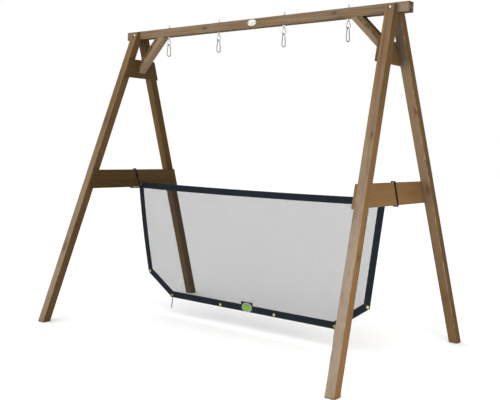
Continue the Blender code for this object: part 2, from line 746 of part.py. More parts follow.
# Net outline
def inset(corners, distance):
    """Outline moved inwards; the corners run anticlockwise."""
    moved_corners = []
    count = len(corners)
    for i, corner in enumerate(corners):
        before = (corner - corners[i - 1]).normalized()
        after = (corners[(i + 1) % count] - corner).normalized()
        inward_before = Vector((-before.y, before.x))
        inward_after = Vector((-after.y, after.x))
        both = inward_before + inward_after
        moved_corners.append(corner + distance * both / (1 + inward_before.dot(inward_after)))
    return moved_corners


left_rise = CROSSBAR_BOTTOM + NET_LEFT_RISE
right_rise = CROSSBAR_BOTTOM + NET_RIGHT_RISE
top_left = Vector((NET_LEFT_GAP - board_face(left_rise), left_rise))
top_right = Vector((board_face(right_rise) - NET_RIGHT_GAP, right_rise))
side_left = top_left + Vector((NET_SIDE_TAPER_LEFT, -NET_LEFT_DROP))
side_right = top_right - Vector((NET_SIDE_TAPER_RIGHT, NET_RIGHT_DROP))
net_low = side_left.y - NET_CORNER_DROP
bottom_left = Vector((-NET_BOTTOM_LENGTH / 2, net_low))
bottom_right = Vector((NET_BOTTOM_LENGTH / 2, net_low))
NET_CORNERS = [bottom_left, bottom_right, side_right, top_right, top_left, side_left]


def hung(point):
    """Where a point of the flat net lies once its top edge sags and its left edge bulges."""
    middle = (top_left.x + top_right.x) / 2
    across = (point[0] - middle) / (top_right.x - middle)
    up = (point[1] - side_left.y) / (top_left.y - side_left.y)
    up = min(max(up, 0.0), 1.0)
    sag = NET_SAG * (1 - across**2) * up
    bulge = NET_BULGE * 4 * up * (1 - up) * max(0.0, -across)
    return Vector((point[0] - bulge, point[1] - sag))


def hung_loop(distance):
    """The hung outline this far inside the hem's outer edge, with points along its bent edges."""
    corners = inset(NET_CORNERS, distance)
    edge_steps = (1, 1, 1, 8, 5, 1)
    loop = []
    for i, steps in enumerate(edge_steps):
        start = corners[i]
        end = corners[(i + 1) % len(corners)]
        for step in range(steps):
            loop.append(hung(start.lerp(end, step / steps)))
    return loop


# Net: a grid cut to the outline, each square inset and opened
def net_mesh():
    edge = inset(NET_CORNERS, HEM_BAND + NET_EDGE_CLEARANCE)
    left = min(corner.x for corner in edge)
    right = max(corner.x for corner in edge)
    low = min(corner.y for corner in edge)
    high = max(corner.y for corner in edge)
    columns = math.ceil((right - left) / NET_PITCH)
    rows = math.ceil((high - low) / NET_PITCH)
    bm = bmesh.new()
    bmesh.ops.create_grid(bm, x_segments=columns, y_segments=rows, size=0.5)
    size = (columns * NET_PITCH, rows * NET_PITCH, 1)
    bmesh.ops.scale(bm, vec=size, verts=bm.verts)
    bmesh.ops.translate(bm, vec=((left + right) / 2, (low + high) / 2, 0), verts=bm.verts)
    for i, corner in enumerate(edge):
        run = (edge[(i + 1) % len(edge)] - corner).normalized()
        bmesh.ops.bisect_plane(
            bm,
            geom=bm.verts[:] + bm.edges[:] + bm.faces[:],
            plane_co=(*corner, 0),
            plane_no=(run.y, -run.x, 0),
            clear_outer=True,
        )
    cells = [face for face in bm.faces if face.calc_area() > NET_LEAST_CELL * NET_PITCH**2]
    bmesh.ops.inset_individual(bm, faces=cells, thickness=NET_STRAND / 2)
    bmesh.ops.delete(bm, geom=cells, context="FACES")
    for vert in bm.verts:
        vert.co.xy = hung(vert.co.xy)
    print(len(cells), "net gaps")
    return mesh_from(bm, "catch_net")


net = place("catch_net", net_mesh(), NET_CORD, (0, NET_PLANE, 0), LEVEL_TO_FRONT)
net_body = net.modifiers.new("thickness", "SOLIDIFY")
net_body.thickness = NET_THICKNESS
net_body.offset = 0

# Hem: a folded band that grips the net's edge in a slot
hem_body = flat_mesh("net_hem", [hung_loop(0), hung_loop(HEM_WIDTH)], HEM_THICKNESS)
hem = place("net_hem", hem_body, WEBBING, (0, NET_PLANE, 0), LEVEL_TO_FRONT)
slot_thickness = NET_THICKNESS + 2 * GAP
hem_slot = new_cutter(
    "hem_slot",
    flat_mesh("hem_slot", [hung_loop(HEM_BAND)], slot_thickness),
    (0, NET_PLANE, 0),
    LEVEL_TO_FRONT,
)
boolean(hem, hem_slot, "DIFFERENCE")


# Eyelets: two flanges on a barrel through the hem
def eyelet_mesh():
    barrel = EYELET_BORE_RADIUS + EYELET_WALL
    inner = HEM_THICKNESS / 2 + GAP
    outer = inner + EYELET_FLANGE
    profile = [
        (EYELET_BORE_RADIUS, outer),
        (EYELET_RADIUS - EYELET_FLANGE / 2, outer),
        (EYELET_RADIUS, inner),
        (barrel, inner),
        (barrel, -inner),
        (EYELET_RADIUS, -inner),
        (EYELET_RADIUS - EYELET_FLANGE / 2, -outer),
        (EYELET_BORE_RADIUS, -outer),
    ]
    return turned_mesh("eyelet", profile, steps=12, closed=True)


band_corners = inset(NET_CORNERS, HEM_BAND / 2)
eyelet_names = ("bottom_left", "bottom_right", "side_right", "top_right", "top_left", "side_left")
eyelet_places = {name: hung(corner) for name, corner in zip(eyelet_names, band_corners)}
for name, x in zip(("bottom_mid_left", "bottom_mid_right"), MIDDLE_EYELETS):
    eyelet_places[name] = Vector((x, band_corners[0].y))

eyelet = smooth(eyelet_mesh())
hem_hole = EYELET_BORE_RADIUS + EYELET_WALL + GAP
for name, (x, z) in eyelet_places.items():
    place(f"eyelet_{name}", eyelet, BRASS, (x, NET_PLANE, z), LEVEL_TO_FRONT)
    hole = cylinder_mesh("eyelet_hole", hem_hole, 4 * HEM_THICKNESS, 12)
    cutter = new_cutter(f"eyelet_hole_{name}", hole, (x, NET_PLANE, z), LEVEL_TO_FRONT)
    boolean(hem, cutter, "DIFFERENCE")


# Lashings: closed loops round the crossbars, each through a top eyelet
def lashing_mesh(name, route, knot_place, knot_size):
    cord = wire_mesh(name, smooth_route(route, 3), LASHING_RADIUS, closed=True, resolution=1)
    bm = bmesh.new()
    bmesh.ops.create_uvsphere(bm, u_segments=10, v_segments=6, radius=1.0)
    bmesh.ops.scale(bm, vec=knot_size, verts=bm.verts)
    bmesh.ops.translate(bm, vec=knot_place, verts=bm.verts)
    return smooth(merged(cord, [mesh_from(bm, "knot")]))


def around_crossbar(side, inner_y, top_y, bottom_y):
    """Cord points up the crossbar's inner face, over its top, down outside and under it."""
    clear = LASHING_RADIUS + LASHING_CLEARANCE
    top = CROSSBAR_TOP
    low = CROSSBAR_BOTTOM
    corner = LASHING_TURN_CLEARANCE
    start = LASHING_FACE_START
    thickness = BOARD_LEVEL_THICKNESS
    spots = [
        (board_face(top - start) - clear, inner_y, top - start),
        (board_face(top) - corner, top_y, top + corner),
        (board_face(top) + thickness / 2, top_y, top + clear),
        (board_face(top) + thickness + corner, top_y, top + corner),
        (leg_inner_face(top - start) + clear, top_y, top - start),
        (leg_inner_face((top + low) / 2) + clear, (top_y + bottom_y) / 2, (top + low) / 2),
        (leg_inner_face(low + start) + clear, bottom_y, low + start),
        (leg_inner_face(low) + corner, bottom_y, low - corner),
        (board_face(low) + thickness / 2, bottom_y, low - clear),
    ]
    return [(side * x, y, z) for x, y, z in spots]


def beside_eyelet(name, offsets):
    """Points given from an eyelet's middle: across, behind the net's plane and up."""
    x, z = eyelet_places[name]
    return [(x + across, NET_PLANE + behind, z + up) for across, behind, up in offsets]


def beside_crossbar(side, height, offsets):
    """Points given from the crossbar's inner face at a height: off it, behind the net's plane, up."""
    face = board_face(height)
    return [(side * (face - off), NET_PLANE + behind, height + up) for off, behind, up in offsets]


def lashing_route(side_name, side, up, rise, along, under, back):
    """Through the eyelet from behind, up in front, round the crossbar and back behind the net."""
    eyelet_pass = [(0, step, 0) for step in (LASHING_PASS, 0, -LASHING_PASS)]
    route = beside_eyelet(f"top_{side_name}", [*eyelet_pass, up])
    route += beside_crossbar(side, CROSSBAR_TOP, rise)
    route += around_crossbar(side, *along)
    route += beside_crossbar(side, CROSSBAR_BOTTOM, [under])
    return route + beside_eyelet(f"top_{side_name}", back)


left_route = lashing_route(
    "left", -1, LASHING_LEFT_UP, LASHING_LEFT_RISE, LASHING_LEFT_ALONG, LASHING_LEFT_UNDER,
    LASHING_LEFT_BACK,
)
left_knot = beside_crossbar(-1, CROSSBAR_TOP, [LASHING_LEFT_KNOT])[0]
left_lashing = lashing_mesh("lashing_left", left_route, left_knot, LASHING_LEFT_KNOT_SIZE)
place("lashing_left", left_lashing, ROPE)

right_route = lashing_route(
    "right", 1, LASHING_RIGHT_UP, LASHING_RIGHT_RISE, LASHING_RIGHT_ALONG, LASHING_RIGHT_UNDER,
    LASHING_RIGHT_BACK,
)
right_knot = beside_crossbar(1, CROSSBAR_TOP, [LASHING_RIGHT_KNOT])[0]
right_lashing = lashing_mesh("lashing_right", right_route, right_knot, LASHING_RIGHT_KNOT_SIZE)
place("lashing_right", right_lashing, ROPE)


# Ground pegs: hooked through the bottom corner eyelets, the shank behind the hem
def peg_mesh(name, eyelet_place, tip):
    x, z = eyelet_place
    reach = PEG_HOOK_REACH
    bend = PEG_BEND_RADIUS
    lean = (tip.x - x) / (z - tip.y)
    points = [(x, NET_PLANE - reach, z - PEG_HOOK_DROP)]
    radii = [PEG_HOOK_END]
    for centre_y, start in ((-reach + bend, math.pi), (reach - bend, math.pi / 2)):
        for i in range(5):
            angle = start - math.pi / 2 * i / 4
            y = NET_PLANE + centre_y + bend * math.cos(angle)
            points.append((x, y, z - bend + bend * math.sin(angle)))
            radii.append(1.0)
    length = z - tip.y
    tapers = ((PEG_HOOK_DROP, 1.0), (length - PEG_POINT_LENGTH, 1.0), (length, PEG_POINT_END))
    for down, radius in tapers:
        points.append((x + lean * down, NET_PLANE + reach, z - down))
        radii.append(radius)
    return smooth(wire_mesh(name, points, PEG_RADIUS, radii=radii))


hem_ends = (("left", NET_CORNERS[0], PEG_LEFT_TIP), ("right", NET_CORNERS[1], PEG_RIGHT_TIP))
for side_name, corner, from_corner in hem_ends:
    tip = Vector((corner.x, 0)) + from_corner
    name = f"ground_peg_{side_name}"
    place(name, peg_mesh(name, eyelet_places[f"bottom_{side_name}"], tip), DARK_STEEL)


# Badges
def add_badge(name, outline, thickness, material, front):
    """Flat plate whose back is just clear of the face at y = front."""
    y = front - GAP - thickness / 2
    piece = place(name, flat_mesh(name, [outline], thickness), material, (0, y, 0), LEVEL_TO_FRONT)
    bevel = piece.modifiers.new("edge", "BEVEL")
    bevel.width = thickness / 4
    bevel.segments = 1
    bevel.limit_method = "ANGLE"
    return y - thickness / 2


def rectangle(centre, size):
    x, y = centre
    w, h = size[0] / 2, size[1] / 2
    return [(x - w, y - h), (x + w, y - h), (x + w, y + h), (x - w, y + h)]


beam_oval = ellipse(Vector((0, BEAM_TOP)) + BEAM_BADGE_CENTRE, BEAM_BADGE_SIZE)
add_badge("beam_badge", beam_oval, BEAM_BADGE_THICKNESS, PLASTIC, -BEAM_SIDE / 2)
net_bottom = Vector((0, net_low))
patch_front = add_badge(
    "hem_patch",
    rectangle(net_bottom + PATCH_CENTRE, PATCH_SIZE),
    PATCH_THICKNESS,
    PATCH_CLOTH,
    NET_PLANE - HEM_THICKNESS / 2,
)
hem_oval = ellipse(net_bottom + HEM_BADGE_CENTRE, HEM_BADGE_SIZE)
add_badge("hem_badge", hem_oval, HEM_BADGE_THICKNESS, BADGE_GREEN, patch_front)
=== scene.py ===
import math
import random
from itertools import product

import bmesh
import bpy
from mathutils import Matrix, Vector


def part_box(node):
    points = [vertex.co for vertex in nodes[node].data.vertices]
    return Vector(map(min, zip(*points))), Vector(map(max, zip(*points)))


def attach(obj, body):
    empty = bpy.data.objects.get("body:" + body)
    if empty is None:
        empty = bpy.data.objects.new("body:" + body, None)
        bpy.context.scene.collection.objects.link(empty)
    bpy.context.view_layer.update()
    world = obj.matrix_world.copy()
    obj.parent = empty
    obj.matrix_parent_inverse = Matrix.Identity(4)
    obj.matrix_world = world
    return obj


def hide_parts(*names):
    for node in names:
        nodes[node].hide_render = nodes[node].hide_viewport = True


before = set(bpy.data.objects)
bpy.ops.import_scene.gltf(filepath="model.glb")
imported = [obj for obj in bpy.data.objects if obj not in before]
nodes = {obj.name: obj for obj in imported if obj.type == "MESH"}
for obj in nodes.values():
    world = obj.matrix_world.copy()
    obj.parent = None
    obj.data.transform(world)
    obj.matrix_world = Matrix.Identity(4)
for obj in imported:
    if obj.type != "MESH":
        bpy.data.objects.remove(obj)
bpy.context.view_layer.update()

scene = bpy.context.scene
scene.view_settings.view_transform = "Standard"
toFront = Matrix.Rotation(math.radians(90), 4, "X")  # +Z becomes -Y
print("frame loaded:", len(nodes), "nodes")


# working helpers
def linked(name, data):
    made = bpy.data.objects.new(name, data)
    scene.collection.objects.link(made)
    return made


def onlyThis(obj):
    bpy.ops.object.select_all(action="DESELECT")
    obj.select_set(True)
    bpy.context.view_layer.objects.active = obj


def intoEdit(obj, kind):
    # edit mode with everything selected
    onlyThis(obj)
    bpy.ops.object.mode_set(mode="EDIT")
    bpy.ops.mesh.select_mode(type=kind)
    bpy.ops.mesh.select_all(action="SELECT")


def outOfEdit():
    # faces turned outwards
    bpy.ops.mesh.select_all(action="SELECT")
    bpy.ops.mesh.normals_make_consistent(inside=False)
    bpy.ops.object.mode_set(mode="OBJECT")


def applied(obj, kind, **settings):
    step = obj.modifiers.new("step", kind)
    for key, value in settings.items():
        setattr(step, key, value)
    onlyThis(obj)
    bpy.ops.object.modifier_apply(modifier="step")


def cutFrom(obj, cutter):
    applied(obj, "BOOLEAN", operation="DIFFERENCE", solver="EXACT", object=cutter)
    bpy.data.objects.remove(cutter)


def joined(parts):
    onlyThis(parts[0])
    for part in parts:
        part.select_set(True)
    bpy.ops.object.join()
    return bpy.context.object


def circle(steps, radius, height=0.0, fill="NGON"):
    bpy.ops.mesh.primitive_circle_add(
        vertices=steps, radius=radius, fill_type=fill, location=(0, 0, height)
    )
    return bpy.context.object


def rod(steps, radius, depth, place, turn):
    bpy.ops.mesh.primitive_cylinder_add(
        vertices=steps, radius=radius, depth=depth, location=place,
        rotation=[math.radians(angle) for angle in turn],
    )
    return bpy.context.object


def meshPiece(name, bm):
    bmesh.ops.recalc_face_normals(bm, faces=bm.faces)
    mesh = bpy.data.meshes.new(name)
    bm.to_mesh(mesh)
    bm.free()
    return linked(name, mesh)


def finishPiece(obj, name, material, stands=(), angle=35, body="root"):
    onlyThis(obj)
    bpy.ops.object.transform_apply(location=True, rotation=True, scale=True)
    bpy.ops.object.shade_smooth_by_angle(angle=math.radians(angle))
    obj.name = name
    obj.data.name = name
    materials = material if isinstance(material, list) else [material]
    marks = [face.material_index for face in obj.data.polygons]
    obj.data.materials.clear()
    for each in materials:
        obj.data.materials.append(each)
    for face, mark in zip(obj.data.polygons, marks):
        face.material_index = min(mark, len(materials) - 1)
    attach(obj, body)
    if stands:
        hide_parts(*stands)
    return obj


def nodeCopy(node):
    # a CAD node's shape as one welded mesh
    copy = linked("copy", nodes[node].data.copy())
    copy.data.materials.clear()
    intoEdit(copy, "VERT")
    bpy.ops.mesh.remove_doubles(threshold=0.00001)
    bpy.ops.mesh.dissolve_limited(angle_limit=math.radians(0.1))
    bpy.ops.object.mode_set(mode="OBJECT")
    return copy


def turned(profile, steps, closed=False):
    # profile is a list of (radius, height); the piece stands on Z
    radii = [max(radius, 1e-5) for radius, height in profile]
    heights = [height for radius, height in profile]
    piece = circle(steps, radii[0], 0.0, "NOTHING")
    intoEdit(piece, "EDGE")
    bpy.ops.transform.translate(value=(0, 0, heights[0]))
    for i in range(1, len(profile)):
        bpy.ops.mesh.extrude_edges_move()
        share = radii[i] / radii[i - 1]
        bpy.ops.transform.resize(value=(share, share, 1), center_override=(0, 0, 0))
        bpy.ops.transform.translate(value=(0, 0, heights[i] - heights[i - 1]))
    if closed:
        bpy.ops.mesh.select_all(action="DESELECT")
        bpy.ops.mesh.select_non_manifold()
        bpy.ops.mesh.bridge_edge_loops()
    bpy.ops.mesh.select_all(action="SELECT")
    bpy.ops.mesh.remove_doubles(threshold=0.00004)
    outOfEdit()
    return piece


def moved(obj, place, turn):
    obj.matrix_world = Matrix.Translation(place) @ turn
    return obj


def placed(source, place, turn=Matrix.Identity(4)):
    # an own copy of a modelled piece
    return moved(linked("copy", source.data.copy()), place, turn)


# shader helpers, which find their node tree from the sockets given
def isSocket(value):
    return isinstance(value, bpy.types.NodeSocket)


def treeOf(*values):
    return next(value.id_data for value in values if isSocket(value))


def feed(socket, value):
    if isSocket(value):
        socket.id_data.links.new(value, socket)
    elif socket.type == "RGBA":
        socket.default_value = (*value, 1)
    else:
        socket.default_value = value


def feedAll(node, values):
    for key, value in values.items():
        feed(node.inputs[key], value)
    return node


def put(tree, kind, sockets=None, **settings):
    made = tree.nodes.new("ShaderNode" + kind)
    for key, value in settings.items():
        setattr(made, key, value)
    return feedAll(made, sockets or {})


def calc(operation, a, b=0.0):
    return put(treeOf(a, b), "Math", {0: a, 1: b}, operation=operation).outputs[0]


def times(a, b):
    return calc("MULTIPLY", a, b)


def plus(a, b):
    return calc("ADD", a, b)


def minus(a, b):
    return calc("SUBTRACT", a, b)


def calcVector(operation, a, b=(0, 0, 0)):
    made = put(treeOf(a, b), "VectorMath", {0: a, 1: b}, operation=operation)
    return made.outputs["Value" if operation in ("LENGTH", "DOT_PRODUCT") else "Vector"]


def stretched(where, scale):
    return calcVector("MULTIPLY", where, scale)


def axes(where):
    return put(treeOf(where), "SeparateXYZ", {0: where}).outputs


def evenRange(value, low=0.0, high=1.0, toLow=0.0, toHigh=1.0, kind="LINEAR"):
    made = put(treeOf(value), "MapRange", interpolation_type=kind)
    for socket, each in zip(made.inputs, (value, low, high, toLow, toHigh)):
        feed(socket, each)
    return made.outputs["Result"]


def ramp(value, low, high, toLow=0.0, toHigh=1.0):
    return evenRange(value, low, high, toLow, toHigh, "SMOOTHSTEP")


def noise(where, scale, detail, roughness=0.5, out=0):
    # scale is one number, or one for each axis
    if isinstance(scale, tuple):
        where, scale = stretched(where, scale), 1.0
    sockets = {"Vector": where, "Scale": scale, "Detail": detail, "Roughness": roughness}
    return put(treeOf(where), "TexNoise", sockets).outputs[out]


def blend(share, a, b, how="MIX"):
    # this node's colours are its inputs 6 and 7 and its output 2
    made = put(treeOf(share, a, b), "Mix", data_type="RGBA", blend_type=how)
    return feedAll(made, {0: share, 6: a, 7: b}).outputs[2]


def bumped(height, distance, strength, below=None):
    sockets = {"Height": height, "Distance": distance, "Strength": strength}
    if below:
        sockets["Normal"] = below
    return put(treeOf(height), "Bump", sockets).outputs[0]


# camera, light and floor
cameraView = {
    "place": (3.758, -4.667, 1.478),
    "yaw": 38.555,  # degrees from +Y towards -X
    "pitch": -3.879,
    "roll": 1.362,
    "lens": 53.8,
    "sensor": 36.0,
    "farthest": 200,
}
studio = {
    "skyDim": 0.33,  # strength away from the bright side
    "skyBright": 1.8,
    "skyEdges": (-0.35, 0.85),  # cosines between which it changes
    "brightSide": (-0.55, -0.68, 0.48),
    "skySeen": 1.0,
    "floorRadius": 40,
    "floorDrop": 0.0005,
    "floorShades": (0.92, 0.94),
    "lamps": [  # place, aim, width, power, colour
        ((-0.9, -4.3, 0.9), (-0.2, 0.0, 1.0), 1.6, 50.0, (1.0, 0.99, 0.98)),
        ((3.2, -0.9, 1.0), (1.3, 0.0, 1.1), 0.9, 35.0, (1.0, 0.95, 0.88)),
    ],
}


def addCamera():
    a, b, c = (math.radians(cameraView[key]) for key in ("yaw", "pitch", "roll"))
    ahead = Vector((-math.sin(a) * math.cos(b), math.cos(a) * math.cos(b), math.sin(b)))
    right = Vector((math.cos(a), math.sin(a), 0))
    up = right.cross(ahead)
    across = right * math.cos(c) + up * math.sin(c)
    upright = up * math.cos(c) - right * math.sin(c)
    turn = Matrix((across, upright, -ahead)).transposed().to_4x4()
    camera = moved(linked("camera", bpy.data.cameras.new("camera")), cameraView["place"], turn)
    camera.data.lens = cameraView["lens"]
    camera.data.sensor_width = cameraView["sensor"]
    camera.data.clip_end = cameraView["farthest"]
    scene.camera = camera


def addLamps():
    for number, (place, aim, width, power, colour) in enumerate(studio["lamps"], 1):
        name = f"lamp_{number}"
        lamp = linked(name, bpy.data.lights.new(name, "AREA"))
        lamp.data.size, lamp.data.energy, lamp.data.color = width, power, colour
        lamp.location = place
        towards = Vector(aim) - Vector(place)
        lamp.rotation_euler = towards.to_track_quat("-Z", "Y").to_euler()
        lamp.visible_camera = False


def addSky():
    world = bpy.data.worlds.new("studio")
    world.use_nodes = True
    tree = world.node_tree
    direction = put(tree, "TexCoord").outputs["Generated"]
    facing = calcVector("DOT_PRODUCT", direction, Vector(studio["brightSide"]).normalized())
    strength = ramp(facing, *studio["skyEdges"], studio["skyDim"], studio["skyBright"])
    light = feedAll(tree.nodes["Background"], {"Color": (1, 1, 1), "Strength": strength})
    seen = put(tree, "Background", {"Color": (1, 1, 1), "Strength": studio["skySeen"]})
    cameraRay = put(tree, "LightPath").outputs["Is Camera Ray"]
    mix = put(tree, "MixShader", {0: cameraRay, 1: light.outputs[0], 2: seen.outputs[0]})
    feed(tree.nodes["World Output"].inputs["Surface"], mix.outputs[0])
    scene.world = world


addCamera()
addLamps()
addSky()
print("camera and light ready")


# shader groups
def addSocket(group, label, way, kind):
    return group.interface.new_socket(name=label, in_out=way, socket_type="NodeSocket" + kind)


def newGroup(name, inputs):
    # a first value tells its kind: a colour has four numbers, a vector three
    group = bpy.data.node_groups.new(name, "ShaderNodeTree")
    for label, value in {"Vector": (0, 0, 0), **inputs}.items():
        kind = "Float"
        if not isinstance(value, float):
            kind = "Color" if len(value) == 4 else "Vector"
        addSocket(group, label, "INPUT", kind).default_value = value
    for label, kind in (("Color", "Color"), ("Roughness", "Float"), ("Height", "Float")):
        addSocket(group, label, "OUTPUT", kind)
    return group, group.nodes.new("NodeGroupInput").outputs


def groupGives(group, colour, roughness, height):
    out = group.nodes.new("NodeGroupOutput")
    feedAll(out, {"Color": colour, "Roughness": roughness, "Height": height})
    return group


woodPlan = {
    "knotScale": (34.0, 78.0, 78.0),  # a set knot's sharpness along and across the grain
    "chanceKnots": (2.6, 7.5, 7.5),  # how densely the others lie
    "sway": (0.0, 0.026, 0.026),  # how far the rings wander
    "taper": (0.018, 1.0, 1.0),  # how slowly the rings change along the grain
    "pushed": 0.011,  # how far a knot pushes the rings aside
    "ringWidth": 0.0058,
    # pale grey of weathered and faded wood, also used as painted sheen and painted light on
    # the broad faces
    "grey": (0.225, 0.182, 0.142),
    "knotEdge": (0.065, 0.032, 0.014),
    "knotHeart": (0.034, 0.017, 0.009),
    "worn": (0.3, 0.21, 0.13),
    "sawn": (0.085, 0.055, 0.026),
}


def makeTimberGroup():
    # the place is in metres, X along the grain, zero at the piece's middle
    group, given = newGroup("timberSurface", {
        "Seed": 0.0,
        "Half Length": 1.0,
        "Half Width": 0.035,
        "Half Depth": 0.035,
        "Pith": (0.0, 0.03, 0.05),
        "Knot A": (50.0, 0.0, 0.0),
        "Knot B": (50.0, 0.0, 0.0),
        "Early Wood": (0.3, 0.2, 0.12, 1),
        "Late Wood": (0.15, 0.09, 0.05, 1),
        # weathered grey and painted sheen on the broad faces
        "Greying": 0.3,
        "Wear": 0.3,
        "Side Tone": 0.8,  # painted shade of the faces across the width
        "Bleach": 0.0,  # faded wood and painted light on the broad faces, between two places along X
        "Bleach From": 1.0,
        "Bleach To": -1.0,
        "Damp": 0.0,  # painted shade: darker between two places along X
        "Damp From": 0.0,
        "Damp To": 1.0,
        "Damp Broad": 1.0,  # 1 on the broad faces, 0 on the others
    })
    place, seed = given["Vector"], given["Seed"]
    shift = put(group, "CombineXYZ", {0: times(seed, 3.7), 1: seed, 2: times(seed, 1.3)})
    own = calcVector("ADD", place, shift.outputs[0])

    # knots: two given, the rest by chance
    chance = put(group, "TexVoronoi", {
        "Vector": stretched(own, woodPlan["chanceKnots"]), "Scale": 1.0, "Randomness": 1.0,
    })
    nearest = times(chance.outputs["Distance"], 8.0)
    for label in ("Knot A", "Knot B"):
        away = stretched(calcVector("SUBTRACT", place, given[label]), woodPlan["knotScale"])
        nearest = calc("MINIMUM", calcVector("LENGTH", away), nearest)
    knot = ramp(nearest, 1.15, 0.35)
    knotHalo = ramp(nearest, 2.6, 0.5)

    # growth rings about the pith, pushed aside by the knots
    sway = calcVector("SUBTRACT", noise(own, (0.9, 6.0, 6.0), 3.0, out=1), (0.5, 0.5, 0.5))
    fromPith = calcVector("SUBTRACT", place, given["Pith"])
    ringPlace = calcVector("ADD", fromPith, stretched(sway, woodPlan["sway"]))
    radius = calcVector("LENGTH", stretched(ringPlace, woodPlan["taper"]))
    radius = plus(radius, times(knotHalo, woodPlan["pushed"]))
    ring = calc("FRACT", calc("DIVIDE", radius, woodPlan["ringWidth"]))
    late = times(ramp(ring, 0.25, 0.86), ramp(ring, 1.0, 0.9))

    fibres = noise(own, (9.0, 420.0, 420.0), 4.0, 0.62)
    streaks = noise(own, (2.2, 75.0, 75.0), 3.0, 0.55)
    patches = noise(own, (1.6, 7.0, 7.0), 2.0)
    ragged = noise(own, (16.0, 60.0, 60.0), 4.0, 0.65)
    share = plus(times(late, 0.4), times(minus(fibres, 0.5), 0.5))
    share = plus(share, times(minus(streaks, 0.4), 0.55))
    share = put(group, "Clamp", {0: share}).outputs[0]
    wood = blend(share, given["Early Wood"], given["Late Wood"])

    # painted shade of the broad and narrow faces, painted shade along X, and grey and faded
    # stretches with painted sheen and painted light
    along = axes(place)[0]
    fromMiddle = [calc("ABSOLUTE", part) for part in axes(place)]
    acrossWidth = calc("DIVIDE", fromMiddle[1], given["Half Width"])
    acrossDepth = calc("DIVIDE", fromMiddle[2], given["Half Depth"])
    broad = ramp(minus(acrossDepth, acrossWidth), -0.02, 0.02)
    sideTone, dampBroad = given["Side Tone"], given["Damp Broad"]
    # painted shade: the faces across the width darker or lighter than the broad ones
    paintedFaceShade = plus(sideTone, times(broad, minus(1.0, sideTone)))
    # random tone times the painted shade of each face
    tone = times(ramp(patches, 0.3, 0.7, 0.84, 1.14), paintedFaceShade)
    # painted shade: darker between two places along X, on the faces chosen by the last input
    damp = times(ramp(along, given["Damp From"], given["Damp To"]), given["Damp"])
    damp = times(damp, evenRange(broad, toLow=minus(1.0, dampBroad), toHigh=dampBroad))
    tone = times(tone, minus(1.0, damp))
    shade = put(group, "CombineColor", {0: tone, 1: tone, 2: tone}).outputs[0]
    wood = blend(1.0, wood, shade, "MULTIPLY")
    # weathered grey streaks and painted sheen, on the broad faces only
    greyedAndSheen = times(times(ramp(streaks, 0.24, 0.76), given["Greying"]), broad)
    # faded wood and painted light: the broad faces paler between two places along X
    faded = evenRange(along, given["Bleach From"], given["Bleach To"])
    faded = times(times(faded, given["Bleach"]), broad)
    faded = times(faded, ramp(patches, 0.2, 0.6, 0.8, 1.05))
    faded = times(faded, ramp(ragged, 0.36, 0.58, 0.72, 1.08))
    wood = blend(calc("MAXIMUM", greyedAndSheen, faded), wood, woodPlan["grey"])
    wood = blend(times(knotHalo, 0.22), wood, woodPlan["knotEdge"])
    wood = blend(times(knot, 0.5), wood, woodPlan["knotHeart"])

    # worn corners and darker sawn ends
    fromEnd, fromSide, fromFace = (
        minus(given["Half " + way], off)
        for way, off in zip(("Length", "Width", "Depth"), fromMiddle)
    )
    corner = ramp(calc("MAXIMUM", fromSide, fromFace), 0.006, 0.0008)
    rubbed = times(corner, ramp(ragged, 0.46, 0.62))
    wood = blend(times(rubbed, given["Wear"]), wood, woodPlan["worn"])
    wood = blend(times(ramp(fromEnd, 0.003, 0.0005), 0.35), wood, woodPlan["sawn"])

    height = minus(times(fibres, 0.7), times(late, 0.35))
    height = minus(height, times(knot, 0.9))
    return groupGives(group, wood, plus(0.6, times(fibres, 0.22)), height)


def makeMetalGroup():
    # fine scratches and dull spots, for every metal piece
    group, given = newGroup("metalSurface", {
        "Clean": (0.7, 0.7, 0.7, 1), "Dull": (0.4, 0.4, 0.4, 1), "Polish": 0.3, "Spots": 0.4,
    })
    cloud = noise(given["Vector"], 240.0, 4.0, 0.6)
    fine = noise(given["Vector"], (900.0, 900.0, 2600.0), 3.0)
    dull = times(ramp(cloud, 0.42, 0.68), given["Spots"])
    colour = blend(dull, given["Clean"], given["Dull"])
    roughness = plus(given["Polish"], times(dull, 0.35))
    return groupGives(group, colour, roughness, plus(times(fine, 0.5), cloud))


def makeWeaveGroup():
    # woven band; U runs along it and V across it, both in metres
    group, given = newGroup("weaveSurface", {
        "Threads": 900.0, "Yarn": (0.03, 0.035, 0.045, 1),
        "Gap": (0.01, 0.011, 0.013, 1), "Faded": (0.09, 0.1, 0.12, 1),
    })
    uv = axes(given["Vector"])
    along, across = (times(uv[k], given["Threads"]) for k in (0, 1))
    # a twill: the lifted thread moves on by one in each row
    row = plus(calc("FLOOR", along), calc("FLOOR", across))
    lifted = calc("LESS_THAN", calc("FRACT", times(row, 0.25)), 0.5)
    warp, weft = (calc("SINE", times(calc("FRACT", way), math.pi)) for way in (across, along))
    height = plus(times(lifted, warp), times(minus(1.0, lifted), times(weft, 0.8)))
    fade = noise(given["Vector"], 9.0, 4.0, 0.6)
    colour = blend(ramp(height, 0.15, 0.8), given["Gap"], given["Yarn"])
    colour = blend(times(ramp(fade, 0.45, 0.75), 0.35), colour, given["Faded"])
    return groupGives(group, colour, minus(0.9, times(height, 0.25)), height)


timberGroup = makeTimberGroup()
metalGroup = makeMetalGroup()
weaveGroup = makeWeaveGroup()


# materials
def newMaterial(name):
    material = bpy.data.materials.new(name)
    material.use_nodes = True
    tree = material.node_tree
    return material, tree, tree.nodes["Principled BSDF"]


def objectPlace(tree):
    return put(tree, "TexCoord").outputs["Object"]


